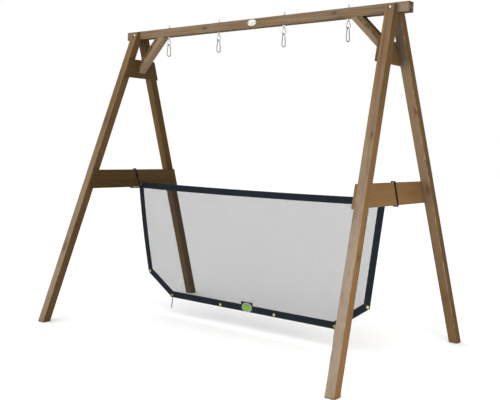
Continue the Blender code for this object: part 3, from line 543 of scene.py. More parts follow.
def fromGroup(group, where, look):
    # a look's keys are the names of the group's inputs in camelCase
    surface = put(treeOf(where), "Group", node_tree=group)
    for socket in surface.inputs:
        key = socket.name[0].lower() + socket.name[1:].replace(" ", "")
        if key in look:
            feed(socket, look[key])
    feed(surface.inputs["Vector"], where)
    return surface.outputs


def wire(shader, colour, roughness, height, bumpSize, strength, specular=0.5):
    normal = bumped(height, bumpSize, strength)
    feedAll(shader, {
        "Base Color": colour, "Roughness": roughness, "Normal": normal,
        "Specular IOR Level": specular,
    })
    return normal


def timberMaterial(name, axis, side, middle, look):
    # axis runs along the grain and side across one face
    material, tree, shader = newMaterial("timber_" + name)
    x = Vector(axis).normalized()
    z = x.cross(Vector(side)).normalized()
    turn = Matrix((x, z.cross(x), z)).transposed().to_euler()
    sockets = {"Vector": objectPlace(tree), "Location": middle, "Rotation": turn}
    local = put(tree, "Mapping", sockets, vector_type="TEXTURE").outputs[0]
    wire(shader, *fromGroup(timberGroup, local, look), 0.0007, 0.55, 0.12)
    return material


def metalMaterial(name, clean, dull, polish, spots=0.4, thread=None):
    material, tree, shader = newMaterial(name)
    where = objectPlace(tree)
    look = {"clean": clean, "dull": dull, "polish": polish, "spots": spots}
    normal = wire(shader, *fromGroup(metalGroup, where, look), 0.00006, 0.4)
    feed(shader.inputs["Metallic"], 1.0)
    if thread:  # a screw thread along one axis, past a start
        axis, start, pitch, depth = thread
        along = axes(where)[axis]
        wave = calc("PINGPONG", calc("DIVIDE", along, pitch), 0.5)
        cut = times(wave, calc("GREATER_THAN", along, start))
        feed(shader.inputs["Normal"], bumped(cut, depth, 0.9, normal))
    return material


def weaveMaterial(name, yarn, gap, faded, threads, sheen):
    material, tree, shader = newMaterial(name)
    uv = put(tree, "UVMap", uv_map="UVMap").outputs[0]
    look = {"yarn": yarn, "gap": gap, "faded": faded, "threads": threads}
    wire(shader, *fromGroup(weaveGroup, uv, look), 0.0004, 0.6, 0.1)
    feed(shader.inputs["Sheen Weight"], sheen)
    return material


def plainMaterial(name, colour, roughness, mottle=0.08):
    material, tree, shader = newMaterial(name)
    grain = noise(objectPlace(tree), 700.0, 3.0)
    cloud = noise(objectPlace(tree), 30.0, 3.0)
    darker = tuple(c * (1 - 2 * mottle) for c in colour)
    lighter = tuple(min(1.0, c * (1 + 2 * mottle)) for c in colour)
    shade = blend(ramp(cloud, 0.35, 0.65), darker, lighter)
    uneven = ramp(grain, 0.3, 0.7, roughness - 0.06, roughness + 0.08)
    wire(shader, shade, uneven, grain, 0.0001, 0.4)
    return material


zincLook = ((0.56, 0.56, 0.55), (0.3, 0.3, 0.295), 0.34)
zincSteel = metalMaterial("zinc_steel", *zincLook)
boltSteel = metalMaterial("zinc_bolt", *zincLook, thread=(1, 0.0, 0.0015, 0.0007))
snapSteel = metalMaterial("snap_steel", (0.41, 0.415, 0.39), (0.21, 0.215, 0.2), 0.32)
pegSteel = metalMaterial("peg_steel", (0.04, 0.04, 0.045), (0.022, 0.02, 0.018), 0.42, 0.7)
brass = metalMaterial("brass", (0.34, 0.31, 0.07), (0.17, 0.15, 0.04), 0.3, 0.5)
screwSteel = metalMaterial("screw_steel", (0.14, 0.12, 0.09), (0.07, 0.055, 0.04), 0.4, 0.7)
print("materials ready")

# timber
framePlan = {
    "lean": 0.06291,  # legs and boards lean in, per metre of height
    "spread": 0.35,  # legs come together, per metre of height
    "top": 2.5,  # beam's top
    "innerFace": 1.23,  # legs' inner faces at the beam's top, from the middle
    "outerFoot": 0.935,  # feet's outer edges, from the middle
    "halfPost": 0.035,
    "halfPostLevel": 0.0371,  # half a leg's depth, measured level
    "legMiddle": 1.245,  # height of a leg's middle
    "halfBrace": 0.3,  # length
    "halfBoard": (0.08, 0.009),
    "boardFace": 0.01833,  # boards' inner faces, in from the legs'
}
timberLook = {
    "early": (0.146, 0.081, 0.0292),
    "late": (0.094, 0.05, 0.0165),
    "greying": 0.1,
    "wear": 0.35,
    # painted shade: the faces across the width a little darker
    "sideTone": 0.9,
}
timberPieces = {  # tone is how light it is; knots are metres from the piece's middle
    "top_beam": {
        "tone": 0.92, "sideTone": 0.55, "greying": 0.5, "seed": 1.3, "pith": (0, -0.105, 0.09),
        "knotA": (-0.456, 0.0, 0.035), "knotB": (0.802, 0.008, 0.035),
        "bleach": 0.6, "bleachFrom": 1.295, "bleachTo": 1.33,
    },
    "leg_front_left": {
        "tone": 0.97, "sideTone": 0.82, "seed": 2.9, "pith": (0, 0.05, 0.04),
        # painted light: the front face paler towards the foot
        "bleach": 0.45, "bleachFrom": 0.9, "bleachTo": -0.6,
    },
    "leg_front_right": {
        "tone": 1.0, "sideTone": 1.06, "greying": 0.35, "seed": 4.1, "pith": (0, -0.02, 0.06),
        "knotA": (0.354, 0.016, -0.035), "knotB": (-0.46, 0.034, -0.002),
        # painted light: the front face paler towards the foot
        "bleach": 0.8, "bleachFrom": 0.9, "bleachTo": -0.4,
        # painted shade: the side faces darker towards the top
        "damp": 0.34, "dampFrom": -0.1, "dampTo": 0.75, "dampBroad": 0.0,
    },
    "leg_back_left": {
        "tone": 0.7, "seed": 5.7, "pith": (0, 0.06, -0.02),
        "early": (0.15, 0.08, 0.022), "late": (0.098, 0.05, 0.0125),
    },
    "leg_back_right": {
        "tone": 0.74, "seed": 7.2, "pith": (0, -0.05, -0.05), "wear": 0.8,
        "bleach": 0.25, "bleachFrom": -1.25, "bleachTo": 0.1,
        # painted shadow of the board and beam on the top of the front face
        "damp": 0.55, "dampFrom": 0.84, "dampTo": 0.94,
        "knotA": (0.572, 0.022, -0.035), "knotB": (0.173, 0.035, 0.006),
    },
    "upper_board_left": {
        "tone": 0.46, "seed": 8.4, "pith": (0, 0.0, 0.09),
        "early": (0.15, 0.08, 0.014), "late": (0.098, 0.05, 0.008),
    },
    "upper_board_right": {"tone": 0.66, "seed": 9.6, "pith": (0, 0.02, 0.08)},
    "crossbar_left": {
        "tone": 0.46, "seed": 10.8, "pith": (0, -0.03, 0.12),
        "early": (0.15, 0.08, 0.01), "late": (0.106, 0.054, 0.006),
    },
    "crossbar_right": {
        "tone": 1.04, "seed": 12.1, "pith": (0, 0.03, 0.16), "greying": 0.0,
        "early": (0.14, 0.078, 0.029), "late": (0.112, 0.061, 0.0215),
    },
    "knee_brace_left": {
        "tone": 1.4, "sideTone": 0.36, "seed": 13.5, "pith": (0, 0.05, 0.05),
        "bleach": 0.45, "bleachFrom": -2.0, "bleachTo": -1.0,
    },
    "knee_brace_right": {
        "tone": 1.0, "sideTone": 0.5, "seed": 14.2, "pith": (0, -0.06, 0.03),
        "bleach": 0.4, "bleachFrom": -2.0, "bleachTo": -1.0,
    },
}


def grainOf(name):
    # direction of the grain, direction across a face, middle, half sizes
    low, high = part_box(name)
    middle = (low + high) / 2
    side = -1 if name.endswith("left") else 1
    plan = framePlan
    lean, halfPost = plan["lean"], plan["halfPost"]
    if name == "top_beam":
        return (1, 0, 0), (0, 0, 1), middle, (high.x, halfPost, halfPost)
    if name.startswith("leg"):
        face = -1 if "front" in name else 1
        rise = Vector((-side * lean, -face * plan["spread"], 1))
        x = plan["innerFace"] + lean * plan["top"] + halfPost
        y = plan["outerFoot"] - plan["halfPostLevel"]
        halfway = Vector((side * x, face * y, 0)) + rise * plan["legMiddle"]
        half = (plan["legMiddle"] * rise.length, halfPost, halfPost)
        return rise, (1, 0, side * lean), halfway, half
    if name.startswith("knee"):
        return (side, 0, -1), (1, 0, side), middle, (plan["halfBrace"], halfPost, halfPost)
    half = ((high.y - low.y) / 2, *plan["halfBoard"])
    return (0, 1, 0), (-side * lean, 0, 1), middle, half


def addTimber():
    for name, own in timberPieces.items():
        axis, side, middle, half = grainOf(name)
        look = {**timberLook, **own}
        look["halfLength"], look["halfWidth"], look["halfDepth"] = half
        for key in ("early", "late"):
            look[key + "Wood"] = tuple(c * look["tone"] for c in look[key])
        material = timberMaterial(name, axis, side, middle, look)
        finishPiece(nodeCopy(name), name + "_wood", material, [name])


addTimber()
print("timber ready")

# net and hem
netPlan = {
    "corners": [  # hem's outer edge, left to right and up, before it sags
        (-0.85, 0.156), (0.85, 0.156), (1.136, 0.352),
        (1.235, 1.155), (-1.29, 1.16), (-1.144, 0.345),
    ],
    "plane": 0.035,  # behind the beam's middle
    "sag": 0.01,
    "bulge": 0.013,
    "pitch": 0.0068,
    "upright": (0.002, 0.0004, 0.0005),  # strand's width, depth and place behind the plane
    "level": (0.0011, 0.0019, -0.0001),
    "edgeInside": 0.04,  # strands end this far inside the hem's outer edge
    "bayStep": 0.11,
}
hemPlan = {
    "width": 0.055,
    "halfThickness": 0.0023,
    "stitchRows": (0.0045, 0.0505),
    "stitchLength": 0.0045,
    "stitchShare": 0.72,  # of its length that shows
    "stitchHalfWidth": 0.00055,
    "stitchColour": (0.05, 0.056, 0.066),
    "dip": 0.0012,  # half the width of the dent along a stitch row
    "pucker": 0.1,
    "step": 0.016,
    "rounded": 0.0018,
}
flatCorners = [Vector(corner) for corner in netPlan["corners"]]


def sidesOf(corners):
    return zip(corners, corners[1:] + corners[:1])


def insetCorners(corners, distance):
    inset = []
    for i, corner in enumerate(corners):
        before = (corner - corners[i - 1]).normalized()
        after = (corners[(i + 1) % len(corners)] - corner).normalized()
        both = Vector((-before.y - after.y, before.x + after.x))
        turnShare = 1 + Vector((-before.y, before.x)).dot(Vector((-after.y, after.x)))
        inset.append(corner + distance * both / turnShare)
    return inset


def hung(x, z):
    # where a point of the flat net hangs
    left, right, low = flatCorners[4], flatCorners[3], flatCorners[5].y
    middle = (left.x + right.x) / 2
    across = (x - middle) / (right.x - middle)
    up = (z - low) / (left.y - low)
    up = min(max(up, 0.0), 1.0)
    sag = netPlan["sag"] * (1 - across**2) * up
    bulge = netPlan["bulge"] * 4 * up * (1 - up) * max(0.0, -across)
    return Vector((x - bulge, z - sag))


def crossings(corners, at, axis):
    # where the outline crosses the line x = at (axis 0) or z = at (axis 1)
    found = []
    for a, b in sidesOf(corners):
        if (a[axis] - at) * (b[axis] - at) < 0:
            share = (at - a[axis]) / (b[axis] - a[axis])
            found.append(a[1 - axis] + share * (b[1 - axis] - a[1 - axis]))
    return sorted(found)


def netMaterial():
    material, tree, shader = newMaterial("net_cord")
    twist = noise(objectPlace(tree), 1400.0, 2.0)
    tone = noise(objectPlace(tree), 3.0, 2.0)
    colour = blend(twist, (0.004, 0.0045, 0.006), (0.018, 0.02, 0.024))
    colour = blend(times(tone, 0.3), colour, (0.03, 0.03, 0.032))
    wire(shader, colour, 0.7, twist, 0.0002, 0.5, 0.06)
    return material


def addStrand(bm, axis, at, start, end):
    width, depth, lift = netPlan["upright" if axis == 0 else "level"]
    wide, deep = width / 2, depth / 2
    steps = max(1, round((end - start) / netPlan["bayStep"]))
    rings = []
    for i in range(steps + 1):
        along = start + (end - start) * i / steps
        spot = hung(at, along) if axis == 0 else hung(along, at)
        ring = []
        for across, out in ((-wide, -deep), (wide, -deep), (wide, deep), (-wide, deep)):
            x, z = (spot.x + across, spot.y) if axis == 0 else (spot.x, spot.y + across)
            ring.append(bm.verts.new((x, netPlan["plane"] + lift + out, z)))
        rings.append(ring)
    for a, b in zip(rings, rings[1:]):
        for k in range(4):
            bm.faces.new((a[k], a[(k + 1) % 4], b[(k + 1) % 4], b[k]))
    bm.faces.new(rings[0])
    bm.faces.new(reversed(rings[-1]))


def addNet():
    edge = insetCorners(flatCorners, netPlan["edgeInside"])
    bm = bmesh.new()
    pitch = netPlan["pitch"]
    flat = [0.0, 0.0]
    for axis in (1, 0):
        low = min(corner[axis] for corner in edge)
        high = max(corner[axis] for corner in edge)
        flat[axis] = high - low
        count = int((high - low) / pitch)
        for i in range(count):
            at = low + (i + 0.5) * (high - low) / count
            found = crossings(edge, at, axis)
            if len(found) == 2 and found[1] - found[0] > pitch:
                addStrand(bm, axis, at, *found)
    net = meshPiece("net", bm)
    faces = len(net.data.polygons)
    finishPiece(net, "net", netMaterial(), ["catch_net"], 30)
    area = sum((a.x * b.y - b.x * a.y) / 2 for a, b in sidesOf(edge))
    print("net:", faces, "faces, flat", [round(v, 4) for v in flat], "area", round(area, 4))
    return net, tuple(flat), area


def hemLoop(distance, steps):
    # the hem's line this far inside its outer edge, hung
    loop = []
    for (start, end), count in zip(sidesOf(insetCorners(flatCorners, distance)), steps):
        for k in range(count):
            loop.append(hung(*start.lerp(end, k / count)))
    return loop


def addHem():
    half, width, rounded, dip = (
        hemPlan[key] for key in ("halfThickness", "width", "rounded", "dip")
    )
    rowA, rowB = hemPlan["stitchRows"]
    face = [  # distance from the outer edge, and the part of the half thickness there
        (0.0, 0.35), (rounded * 0.35, 0.78), (rounded, 1.0),
        (rowA - dip, 1.0), (rowA, 0.72), (rowA + dip, 1.0),
        (0.015, 1.0), (0.0275, 0.97), (0.04, 0.94),
        (rowB - dip, 0.94), (rowB, 0.66), (rowB + dip, 0.92),
        (width - rounded * 0.4, 0.72), (width, 0.34),
    ]
    steps = [max(2, round((b - a).length / hemPlan["step"])) for a, b in sidesOf(flatCorners)]
    profile = [(d, -half * part) for d, part in face]
    profile += [(d, half * part) for d, part in reversed(face)]
    bm = bmesh.new()
    uvLayer = bm.loops.layers.uv.new("UVMap")
    dice = random.Random(7)
    pucker = [dice.uniform(-1, 1) for _ in range(sum(steps))]
    rings = []
    for d, out in profile:
        ring = []
        for i, spot in enumerate(hemLoop(d, steps)):
            puff = 1 + hemPlan["pucker"] * pucker[i] * math.sin(math.pi * d / width)
            ring.append(bm.verts.new((spot.x, netPlan["plane"] + out * puff, spot.y)))
        rings.append(ring)
    runs = [0.0]
    for a, b in sidesOf(hemLoop(0.0, steps)):
        runs.append(runs[-1] + (b - a).length)
    for (a, b), ((va, _), (vb, _)) in zip(sidesOf(rings), sidesOf(profile)):
        for i in range(len(a)):
            j = (i + 1) % len(a)
            made = bm.faces.new((a[i], a[j], b[j], b[i]))
            corners = ((runs[i], va), (runs[i + 1], va), (runs[i + 1], vb), (runs[i], vb))
            for loop, uv in zip(made.loops, corners):
                loop[uvLayer].uv = uv
    return meshPiece("hem", bm)


eyeletPlan = {
    "radius": 0.013,
    "bore": 0.0065,
    "hole": 0.0074,
    "steps": 40,
    "places": {
        "bottom_left": (-0.84486, 0.1735), "bottom_right": (0.84458, 0.1735),
        "side_right": (1.1196, 0.36194), "top_right": (1.21521, 1.13724),
        "top_left": (-1.27016, 1.14214), "side_left": (-1.1287, 0.35556),
        "bottom_mid_left": (-0.281, 0.1735), "bottom_mid_right": (0.281, 0.1735),
    },
}


def punchEyelets(hem):
    # round holes through the hem where the eyelets sit
    cutFrom(hem, joined([
        rod(32, eyeletPlan["hole"], 0.03, (x, netPlan["plane"], z), (90, 0, 0))
        for x, z in eyeletPlan["places"].values()
    ]))


def hemMaterial():
    # woven band with two rows of stitches, which follow its own UV
    material = weaveMaterial(
        "hem_webbing", (0.0058, 0.0096, 0.015), (0.002, 0.003, 0.0045),
        (0.011, 0.017, 0.026), 620.0, 0.02,
    )
    tree = material.node_tree
    shader = tree.nodes["Principled BSDF"]
    uv = axes(put(tree, "UVMap", uv_map="UVMap").outputs[0])
    stitch = calc("FRACT", times(uv[0], 1 / hemPlan["stitchLength"]))
    rowA, rowB = (
        calc("LESS_THAN", calc("ABSOLUTE", minus(uv[1], row)), hemPlan["stitchHalfWidth"])
        for row in hemPlan["stitchRows"]
    )
    shown = calc("LESS_THAN", stitch, hemPlan["stitchShare"])
    thread = times(calc("MAXIMUM", rowA, rowB), shown)
    base = shader.inputs["Base Color"]
    band = base.links[0].from_socket
    feed(base, blend(times(thread, 0.8), band, hemPlan["stitchColour"]))
    height = shader.inputs["Normal"].links[0].from_node.inputs["Height"]
    feed(height, plus(height.links[0].from_socket, times(thread, 1.5)))
    return material


net, netFlat, netArea = addNet()
hem = addHem()
punchEyelets(hem)
finishPiece(hem, "hem", hemMaterial(), ["net_hem"], 40)
print("net and hem ready")


# eyelets
def addEyelets():
    bore, radius = eyeletPlan["bore"], eyeletPlan["radius"]
    inner = hemPlan["halfThickness"] + 0.0003
    lip = 0.0012  # how far the flange stands off the hem
    crown = inner + lip
    upper = [(bore + 0.0006, 0.0), (bore, inner * 0.6), (bore + 0.0002, inner)]
    for i in range(1, 7):  # the rolled lip
        angle = math.pi * i / 7
        upper.append((bore + lip - 0.001 * math.cos(angle), inner + lip * math.sin(angle)))
    upper += [
        (bore + 0.003, crown - 0.0006), (radius - 0.0012, crown - 0.0008),
        (radius - 0.0003, inner + 0.0003), (radius, inner), (bore + 0.0016, inner - 0.0001),
    ]
    profile = upper + [(r, -h) for r, h in reversed(upper[1:])]
    source = turned(profile, eyeletPlan["steps"], closed=True)
    made = []
    for place, (x, z) in eyeletPlan["places"].items():
        name = "eyelet_" + place
        ring = placed(source, (x, netPlan["plane"], z), toFront)
        made.append(finishPiece(ring, name + "_ring", brass, [name]))
    bpy.data.objects.remove(source)
    return made


eyelets = addEyelets()
print("eyelets ready")

# badges
badgePlan = {
    "beamOval": {
        "place": (0.043, -0.0353, 2.468), "size": (0.084, 0.048), "thickness": 0.0025,
        "rimWidth": 0.0034, "rimHeight": 0.0006,
    },
    "hemOval": {
        "place": (0.009, 0.0305, 0.193), "size": (0.102, 0.076), "thickness": 0.002,
        "rimWidth": 0.0062, "rimHeight": 0.0005,
    },
    "hemPatch": {
        "place": (0.005, 0.0324, 0.197), "size": (0.124, 0.082),
        "middleLift": 0.0011, "edgeLift": 0.0006, "cloth": 0.0004,
    },
}


def ovalPlate(plan, edge=0.0006):
    # oval plate with a raised rim round a slightly domed field
    plate = circle(64, 0.5)
    plate.scale = (*plan["size"], 1)
    bpy.ops.object.transform_apply(scale=True)
    intoEdit(plate, "FACE")
    rise = plan["thickness"] - edge
    bpy.ops.mesh.extrude_region_move(TRANSFORM_OT_translate={"value": (0, 0, rise)})
    bpy.ops.mesh.inset(thickness=edge, depth=edge)
    bpy.ops.mesh.inset(thickness=plan["rimWidth"], depth=0)
    bpy.ops.mesh.inset(thickness=0.0005, depth=-plan["rimHeight"])
    field = bmesh.from_edit_mesh(plate.data)
    for face in field.faces:
        if face.select:
            face.material_index = 1
    bmesh.update_edit_mesh(plate.data)
    for share, lift in ((0.8, 0.35), (0.7, 0.25), (0.5, 0.15)):
        bpy.ops.mesh.inset(thickness=0.0002, depth=0)
        bpy.ops.transform.resize(value=(share, share, 1))
        bpy.ops.transform.translate(value=(0, 0, plan["rimHeight"] * lift))
    outOfEdit()
    return moved(plate, plan["place"], toFront)


def addBadges():
    plastic = plainMaterial("badge_plastic", (0.6, 0.6, 0.57), 0.38)
    field = plainMaterial("badge_field", (0.52, 0.53, 0.49), 0.45)
    rim = plainMaterial("badge_rim", (0.19, 0.23, 0.27), 0.35)
    green = plainMaterial("badge_green", (0.105, 0.215, 0.007), 0.38, 0.12)
    plate = ovalPlate(badgePlan["beamOval"])
    finishPiece(plate, "beam_oval", [plastic, field], ["beam_badge"], 30)
    plate = ovalPlate(badgePlan["hemOval"])
    return finishPiece(plate, "hem_oval", [rim, green], ["hem_badge"], 30)


def addPatch():
    plan = badgePlan["hemPatch"]
    width, height = plan["size"]
    bpy.ops.mesh.primitive_grid_add(
        x_subdivisions=28, y_subdivisions=20, size=1.0, location=(0, 0, 0)
    )
    patch = bpy.context.object
    patch.scale = (width, height, 1)
    bpy.ops.object.transform_apply(scale=True)
    for vert in patch.data.vertices:
        edge = max(abs(vert.co.x) / (width / 2), abs(vert.co.y) / (height / 2))
        lift = plan["middleLift"] if edge < 0.93 else plan["edgeLift"]
        vert.co.z = lift if edge < 0.999 else 0.0
    applied(patch, "SOLIDIFY", thickness=plan["cloth"], offset=-1)
    uv = patch.data.uv_layers.active
    for loop in patch.data.loops:
        uv.data[loop.index].uv = patch.data.vertices[loop.vertex_index].co.xy
    moved(patch, plan["place"], toFront)
    cloth = weaveMaterial(
        "patch_cloth", (0.012, 0.013, 0.015), (0.004, 0.004, 0.005),
        (0.03, 0.03, 0.034), 1100.0, 0.2,
    )
    return finishPiece(patch, "hem_patch_cloth", cloth, ["hem_patch"], 40)


ovalBadge = addBadges()
patch = addPatch()
print("badges ready")

# lashings
lashingPlan = {
    "strandRadius": 0.0029,
    "strandReach": 0.0026,
    "twist": 0.034,  # one turn of the lay
    "step": 0.0032,
    "left": [
        (-1.2702, 0.044, 1.1421), (-1.2702, 0.035, 1.1421), (-1.2702, 0.026, 1.1421),
        (-1.2785, 0.018, 1.165), (-1.2835, 0.008, 1.2), (-1.2845, -0.003, 1.232),
        (-1.2839, -0.011, 1.26), (-1.2843, -0.015, 1.2766), (-1.2979, -0.015, 1.2778),
        (-1.3116, -0.015, 1.2766), (-1.3138, -0.015, 1.26), (-1.3181, -0.0255, 1.192),
        (-1.3224, -0.036, 1.124), (-1.322, -0.036, 1.1074), (-1.308, -0.036, 1.1062),
        (-1.3, -0.005, 1.105), (-1.2945, 0.032, 1.106), (-1.284, 0.0465, 1.117),
    ],
    "right": [
        (1.2152, 0.044, 1.1372), (1.2152, 0.035, 1.1372), (1.2152, 0.026, 1.1372),
        (1.233, 0.0215, 1.152), (1.26, 0.014, 1.198), (1.2839, 0.01, 1.26),
        (1.2843, 0.01, 1.2766), (1.2979, 0.01, 1.2778), (1.3116, 0.01, 1.2766),
        (1.3138, 0.011, 1.26), (1.3181, 0.0285, 1.192), (1.3224, 0.047, 1.124),
        (1.322, 0.047, 1.1074), (1.308, 0.047, 1.1062), (1.292, 0.048, 1.106),
        (1.268, 0.049, 1.115), (1.238, 0.0472, 1.13),
    ],
}
knotPlan = {
    "places": {"left": (-1.2825, 0.006, 1.2105), "right": (1.2605, 0.014, 1.198)},
    "turns": 4,
    "turnSteps": 12,
    "cord": 0.0034,
    "radius": 0.0056,  # at its ends
    "swell": 0.0026,
    "squash": (0.85, 1.15),
    "height": 0.025,
}


def smoothRoute(points, spacing):
    # a closed smooth curve through the points, read at even steps
    points = [Vector(p) for p in points]
    fine = []
    for i in range(len(points)):
        p0, p1, p2, p3 = (points[(i + k) % len(points)] for k in (-1, 0, 1, 2))
        for k in range(12):
            t = k / 12
            fine.append(0.5 * (
                2 * p1 + (p2 - p0) * t + (2 * p0 - 5 * p1 + 4 * p2 - p3) * t**2
                + (3 * p1 - p0 - 3 * p2 + p3) * t**3
            ))
    fine.append(fine[0].copy())
    runs = [0.0]
    for a, b in zip(fine, fine[1:]):
        runs.append(runs[-1] + (b - a).length)
    total = runs[-1]
    steps = max(4, round(total / spacing))
    even, k = [], 0
    for i in range(steps):
        want = total * i / steps
        while k < len(runs) - 2 and runs[k + 1] < want:
            k += 1
        share = (want - runs[k]) / max(runs[k + 1] - runs[k], 1e-9)
        even.append(fine[k].lerp(fine[k + 1], share))
    return even, total


def tube(name, points, radius, closed, roundness):
    curve = bpy.data.curves.new(name, "CURVE")
    curve.dimensions = "3D"
    curve.bevel_depth = radius
    curve.bevel_resolution = roundness
    curve.use_fill_caps = True
    line = curve.splines.new("POLY")
    line.points.add(len(points) - 1)
    for spot, point in zip(line.points, points):
        spot.co = (*point, 1)
    line.use_cyclic_u = closed
    onlyThis(linked(name, curve))
    bpy.ops.object.convert(target="MESH")
    return bpy.context.object


def squareTo(line):
    # two directions square to a closed line, carried along without twisting
    tangents = [
        (line[(i + 1) % len(line)] - line[i - 1]).normalized() for i in range(len(line))
    ]
    side = tangents[0].orthogonal().normalized()
    made = []
    for tangent in tangents:
        side = (side - tangent * side.dot(tangent)).normalized()
        made.append((side.copy(), tangent.cross(side)))
    return made


def ropeStrands(name, points):
    # three laid strands along the route
    line, total = smoothRoute(points, lashingPlan["step"])
    turns = max(2, round(total / lashingPlan["twist"]))
    reach = lashingPlan["strandReach"]
    strands = []
    for k in range(3):
        path = []
        for i, (spot, (side, up)) in enumerate(zip(line, squareTo(line))):
            angle = 2 * math.pi * (turns * i / len(line) + k / 3)
            path.append(spot + side * reach * math.cos(angle) + up * reach * math.sin(angle))
        strands.append(tube(f"{name}_{k}", path, lashingPlan["strandRadius"], True, 1))
    return strands


def knotCoil(name, place):
    # the cord wound round itself
    middle = Vector(place)
    perTurn, height = knotPlan["turnSteps"], knotPlan["height"]
    wide, deep = knotPlan["squash"]
    steps = knotPlan["turns"] * perTurn
    path = []
    for i in range(steps + 1):
        angle = 2 * math.pi * i / perTurn
        share = i / steps
        radius = knotPlan["radius"] + knotPlan["swell"] * math.sin(math.pi * share)
        path.append(middle + Vector((
            radius * wide * math.cos(angle), radius * deep * math.sin(angle),
            height / 2 - height * share,
        )))
    return tube(name, path, knotPlan["cord"], False, 3)


def ropeMaterial():
    material, tree, shader = newMaterial("lashing_rope")
    where = objectPlace(tree)
    fuzz = noise(where, 900.0, 4.0, 0.7)
    sockets = {"Vector": where, "Scale": 160.0, "Distortion": 2.0, "Detail": 2.0}
    yarn = put(tree, "TexWave", sockets, bands_direction="DIAGONAL").outputs["Fac"]
    colour = blend(fuzz, (0.0025, 0.0025, 0.003), (0.012, 0.011, 0.012))
    wire(shader, colour, 0.85, plus(fuzz, yarn), 0.0003, 0.6, 0.1)
    return material


def addLashings():
    rope = ropeMaterial()
    for side in ("left", "right"):
        pieces = ropeStrands("strand_" + side, lashingPlan[side])
        pieces.append(knotCoil("knot_" + side, knotPlan["places"][side]))
        finishPiece(joined(pieces), f"lashing_{side}_rope", rope, ["lashing_" + side], 60)


addLashings()
print("lashings ready")

# hooks, bolts, nuts and pegs
studPlan = {
    "start": 2.5125,  # just above the nut
    "top": 2.53,
    "pitch": 0.00125,
    "core": 0.00435,
    "crest": 0.005,
    "sunk": 0.001,  # into the shank below
    "chamfer": 0.0005,
}
hookParts = [  # CAD node, visible piece, material, body, smoothing angle
    ("hook_washer_{}", "hook_washer_{}_steel", zincSteel, "root", 40),
    ("hook_nut_{}", "hook_nut_{}_steel", zincSteel, "root", 30),
    ("carabiner_{}", "snap_{}_steel", snapSteel, "snap_{}", 50),
    ("carabiner_pin_{}", "snap_pin_{}_steel", snapSteel, "snap_{}", 40),
    ("carabiner_gate_{}", "gate_{}_steel", snapSteel, "gate_{}", 40),
]
sideParts = [  # CAD node, material, slot, smoothing angle
    ("leg_bolt_{}", boltSteel, "zinc_steel", 40),
    ("leg_washer_{}", zincSteel, "zinc_steel", 40),
    ("leg_nut_{}", zincSteel, "zinc_steel", 40),
    ("ground_peg_{}", pegSteel, "peg_steel", 60),
]


def threadedStud():
    # the stud above its nut, ridge by ridge, on Z
    start, top, pitch, core, crest, sunk, chamfer = studPlan.values()
    profile = [(0, start - sunk), (core, start - sunk), (core, start)]
    for i in range(int((top - start - sunk) / pitch)):
        low = start + i * pitch
        profile += [
            (crest, low + 0.38 * pitch), (crest, low + 0.52 * pitch), (core, low + 0.9 * pitch)
        ]
    profile += [(core, top - chamfer), (core - chamfer, top), (0, top)]
    return turned(profile, 24)


def eyeBoltCopy(name, stud):
    # the CAD shape with a threaded stud above the nut
    bolt = nodeCopy(name)
    low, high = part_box(name)
    intoEdit(bolt, "VERT")
    bpy.ops.mesh.bisect(
        plane_co=(0, 0, studPlan["start"]), plane_no=(0, 0, 1), clear_outer=True, use_fill=True
    )
    bpy.ops.object.mode_set(mode="OBJECT")
    return joined([bolt, placed(stud, ((low.x + high.x) / 2, (low.y + high.y) / 2, 0))])


def addSteel():
    stud = threadedStud()
    for number in (1, 2, 3, 4):
        name = f"eye_bolt_{number}"
        finishPiece(eyeBoltCopy(name, stud), name + "_steel", zincSteel, [name], 50)
        for node, piece, steel, body, angle in hookParts:
            node, piece, body = (text.format(number) for text in (node, piece, body))
            finishPiece(nodeCopy(node), piece, steel, [node], angle, body)
    for side in ("left", "right"):
        for node, steel, slot, angle in sideParts:
            name = node.format(side)
            finishPiece(nodeCopy(name), name + "_steel", steel, [name], angle)
    bpy.data.objects.remove(stud)


addSteel()
print("steel ready")

# screws
screwPlan = {
    "radius": 0.0045,
    "proud": 0.0003,
    "depth": 0.0012,
    "spacing": 0.045,  # up and down from the board's middle
    "boards": (2.168, 1.192),  # heights of the boards' middles
    "braceToe": (0.962, 1.004),  # up through the brace's toe into the beam
    "braceLine": 3.365,  # height of the brace's slant plus its distance out
    "badgePins": ((0.009, -0.0379, 2.468), (0.077, -0.0379, 2.468)),
}


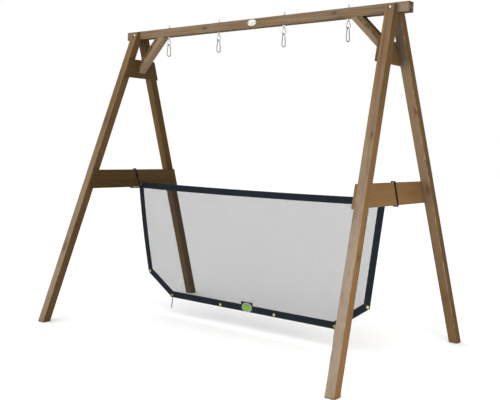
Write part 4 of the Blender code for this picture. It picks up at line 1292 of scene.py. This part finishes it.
def screwHead():
    # flat head with a cross recess, standing on Z
    radius, proud, depth = (screwPlan[key] for key in ("radius", "proud", "depth"))
    head = circle(32, radius, -depth)
    intoEdit(head, "FACE")
    rise = depth + proud * 0.4
    bpy.ops.mesh.extrude_region_move(TRANSFORM_OT_translate={"value": (0, 0, rise)})
    bpy.ops.mesh.inset(thickness=radius * 0.12, depth=proud * 0.6)
    bpy.ops.mesh.inset(thickness=radius * 0.3, depth=0)
    outOfEdit()
    cutters = [rod(4, 0.0006, radius * 1.15, (0, 0, 0), (90, 45, turn)) for turn in (0, 90)]
    for cutter in cutters:
        cutFrom(head, cutter)
    return head


def addScrews():
    lean, spread = framePlan["lean"], framePlan["spread"]
    source = screwHead()
    spots = []
    for side in (-1, 1):
        for middle, face, step in product(screwPlan["boards"], (-1, 1), (-1, 1)):
            z = middle + step * screwPlan["spacing"]
            x = framePlan["innerFace"] + lean * (framePlan["top"] - z) - framePlan["boardFace"]
            y = framePlan["outerFoot"] - spread * z - framePlan["halfPostLevel"]
            spots.append(((side * x, face * y, z), (-side, 0, -lean)))
        for x in screwPlan["braceToe"]:
            spots.append(((side * x, 0, screwPlan["braceLine"] - x), (-side, 0, -1)))
    spots += [(place, (0, -1, 0)) for place in screwPlan["badgePins"]]
    dice = random.Random(3)
    for number, (place, facing) in enumerate(spots, 1):
        turn = Vector(facing).to_track_quat("Z", "Y").to_matrix().to_4x4()
        screw = placed(source, place, turn @ Matrix.Rotation(dice.uniform(0, 3), 4, "Z"))
        finishPiece(screw, f"screw_{number:02d}", screwSteel)
    bpy.data.objects.remove(source)
    print("screws:", len(spots))


addScrews()


# floor
def addFloor():
    floor = circle(96, studio["floorRadius"], -studio["floorDrop"])
    material, tree, shader = newMaterial("floor_white")
    darker, lighter = ((shade,) * 3 for shade in studio["floorShades"])
    shade = blend(noise(objectPlace(tree), 0.6, 2.0), darker, lighter)
    feedAll(shader, {"Base Color": shade, "Roughness": 0.9})
    floor.data.materials.append(material)
    floor.name = "floor"


addFloor()
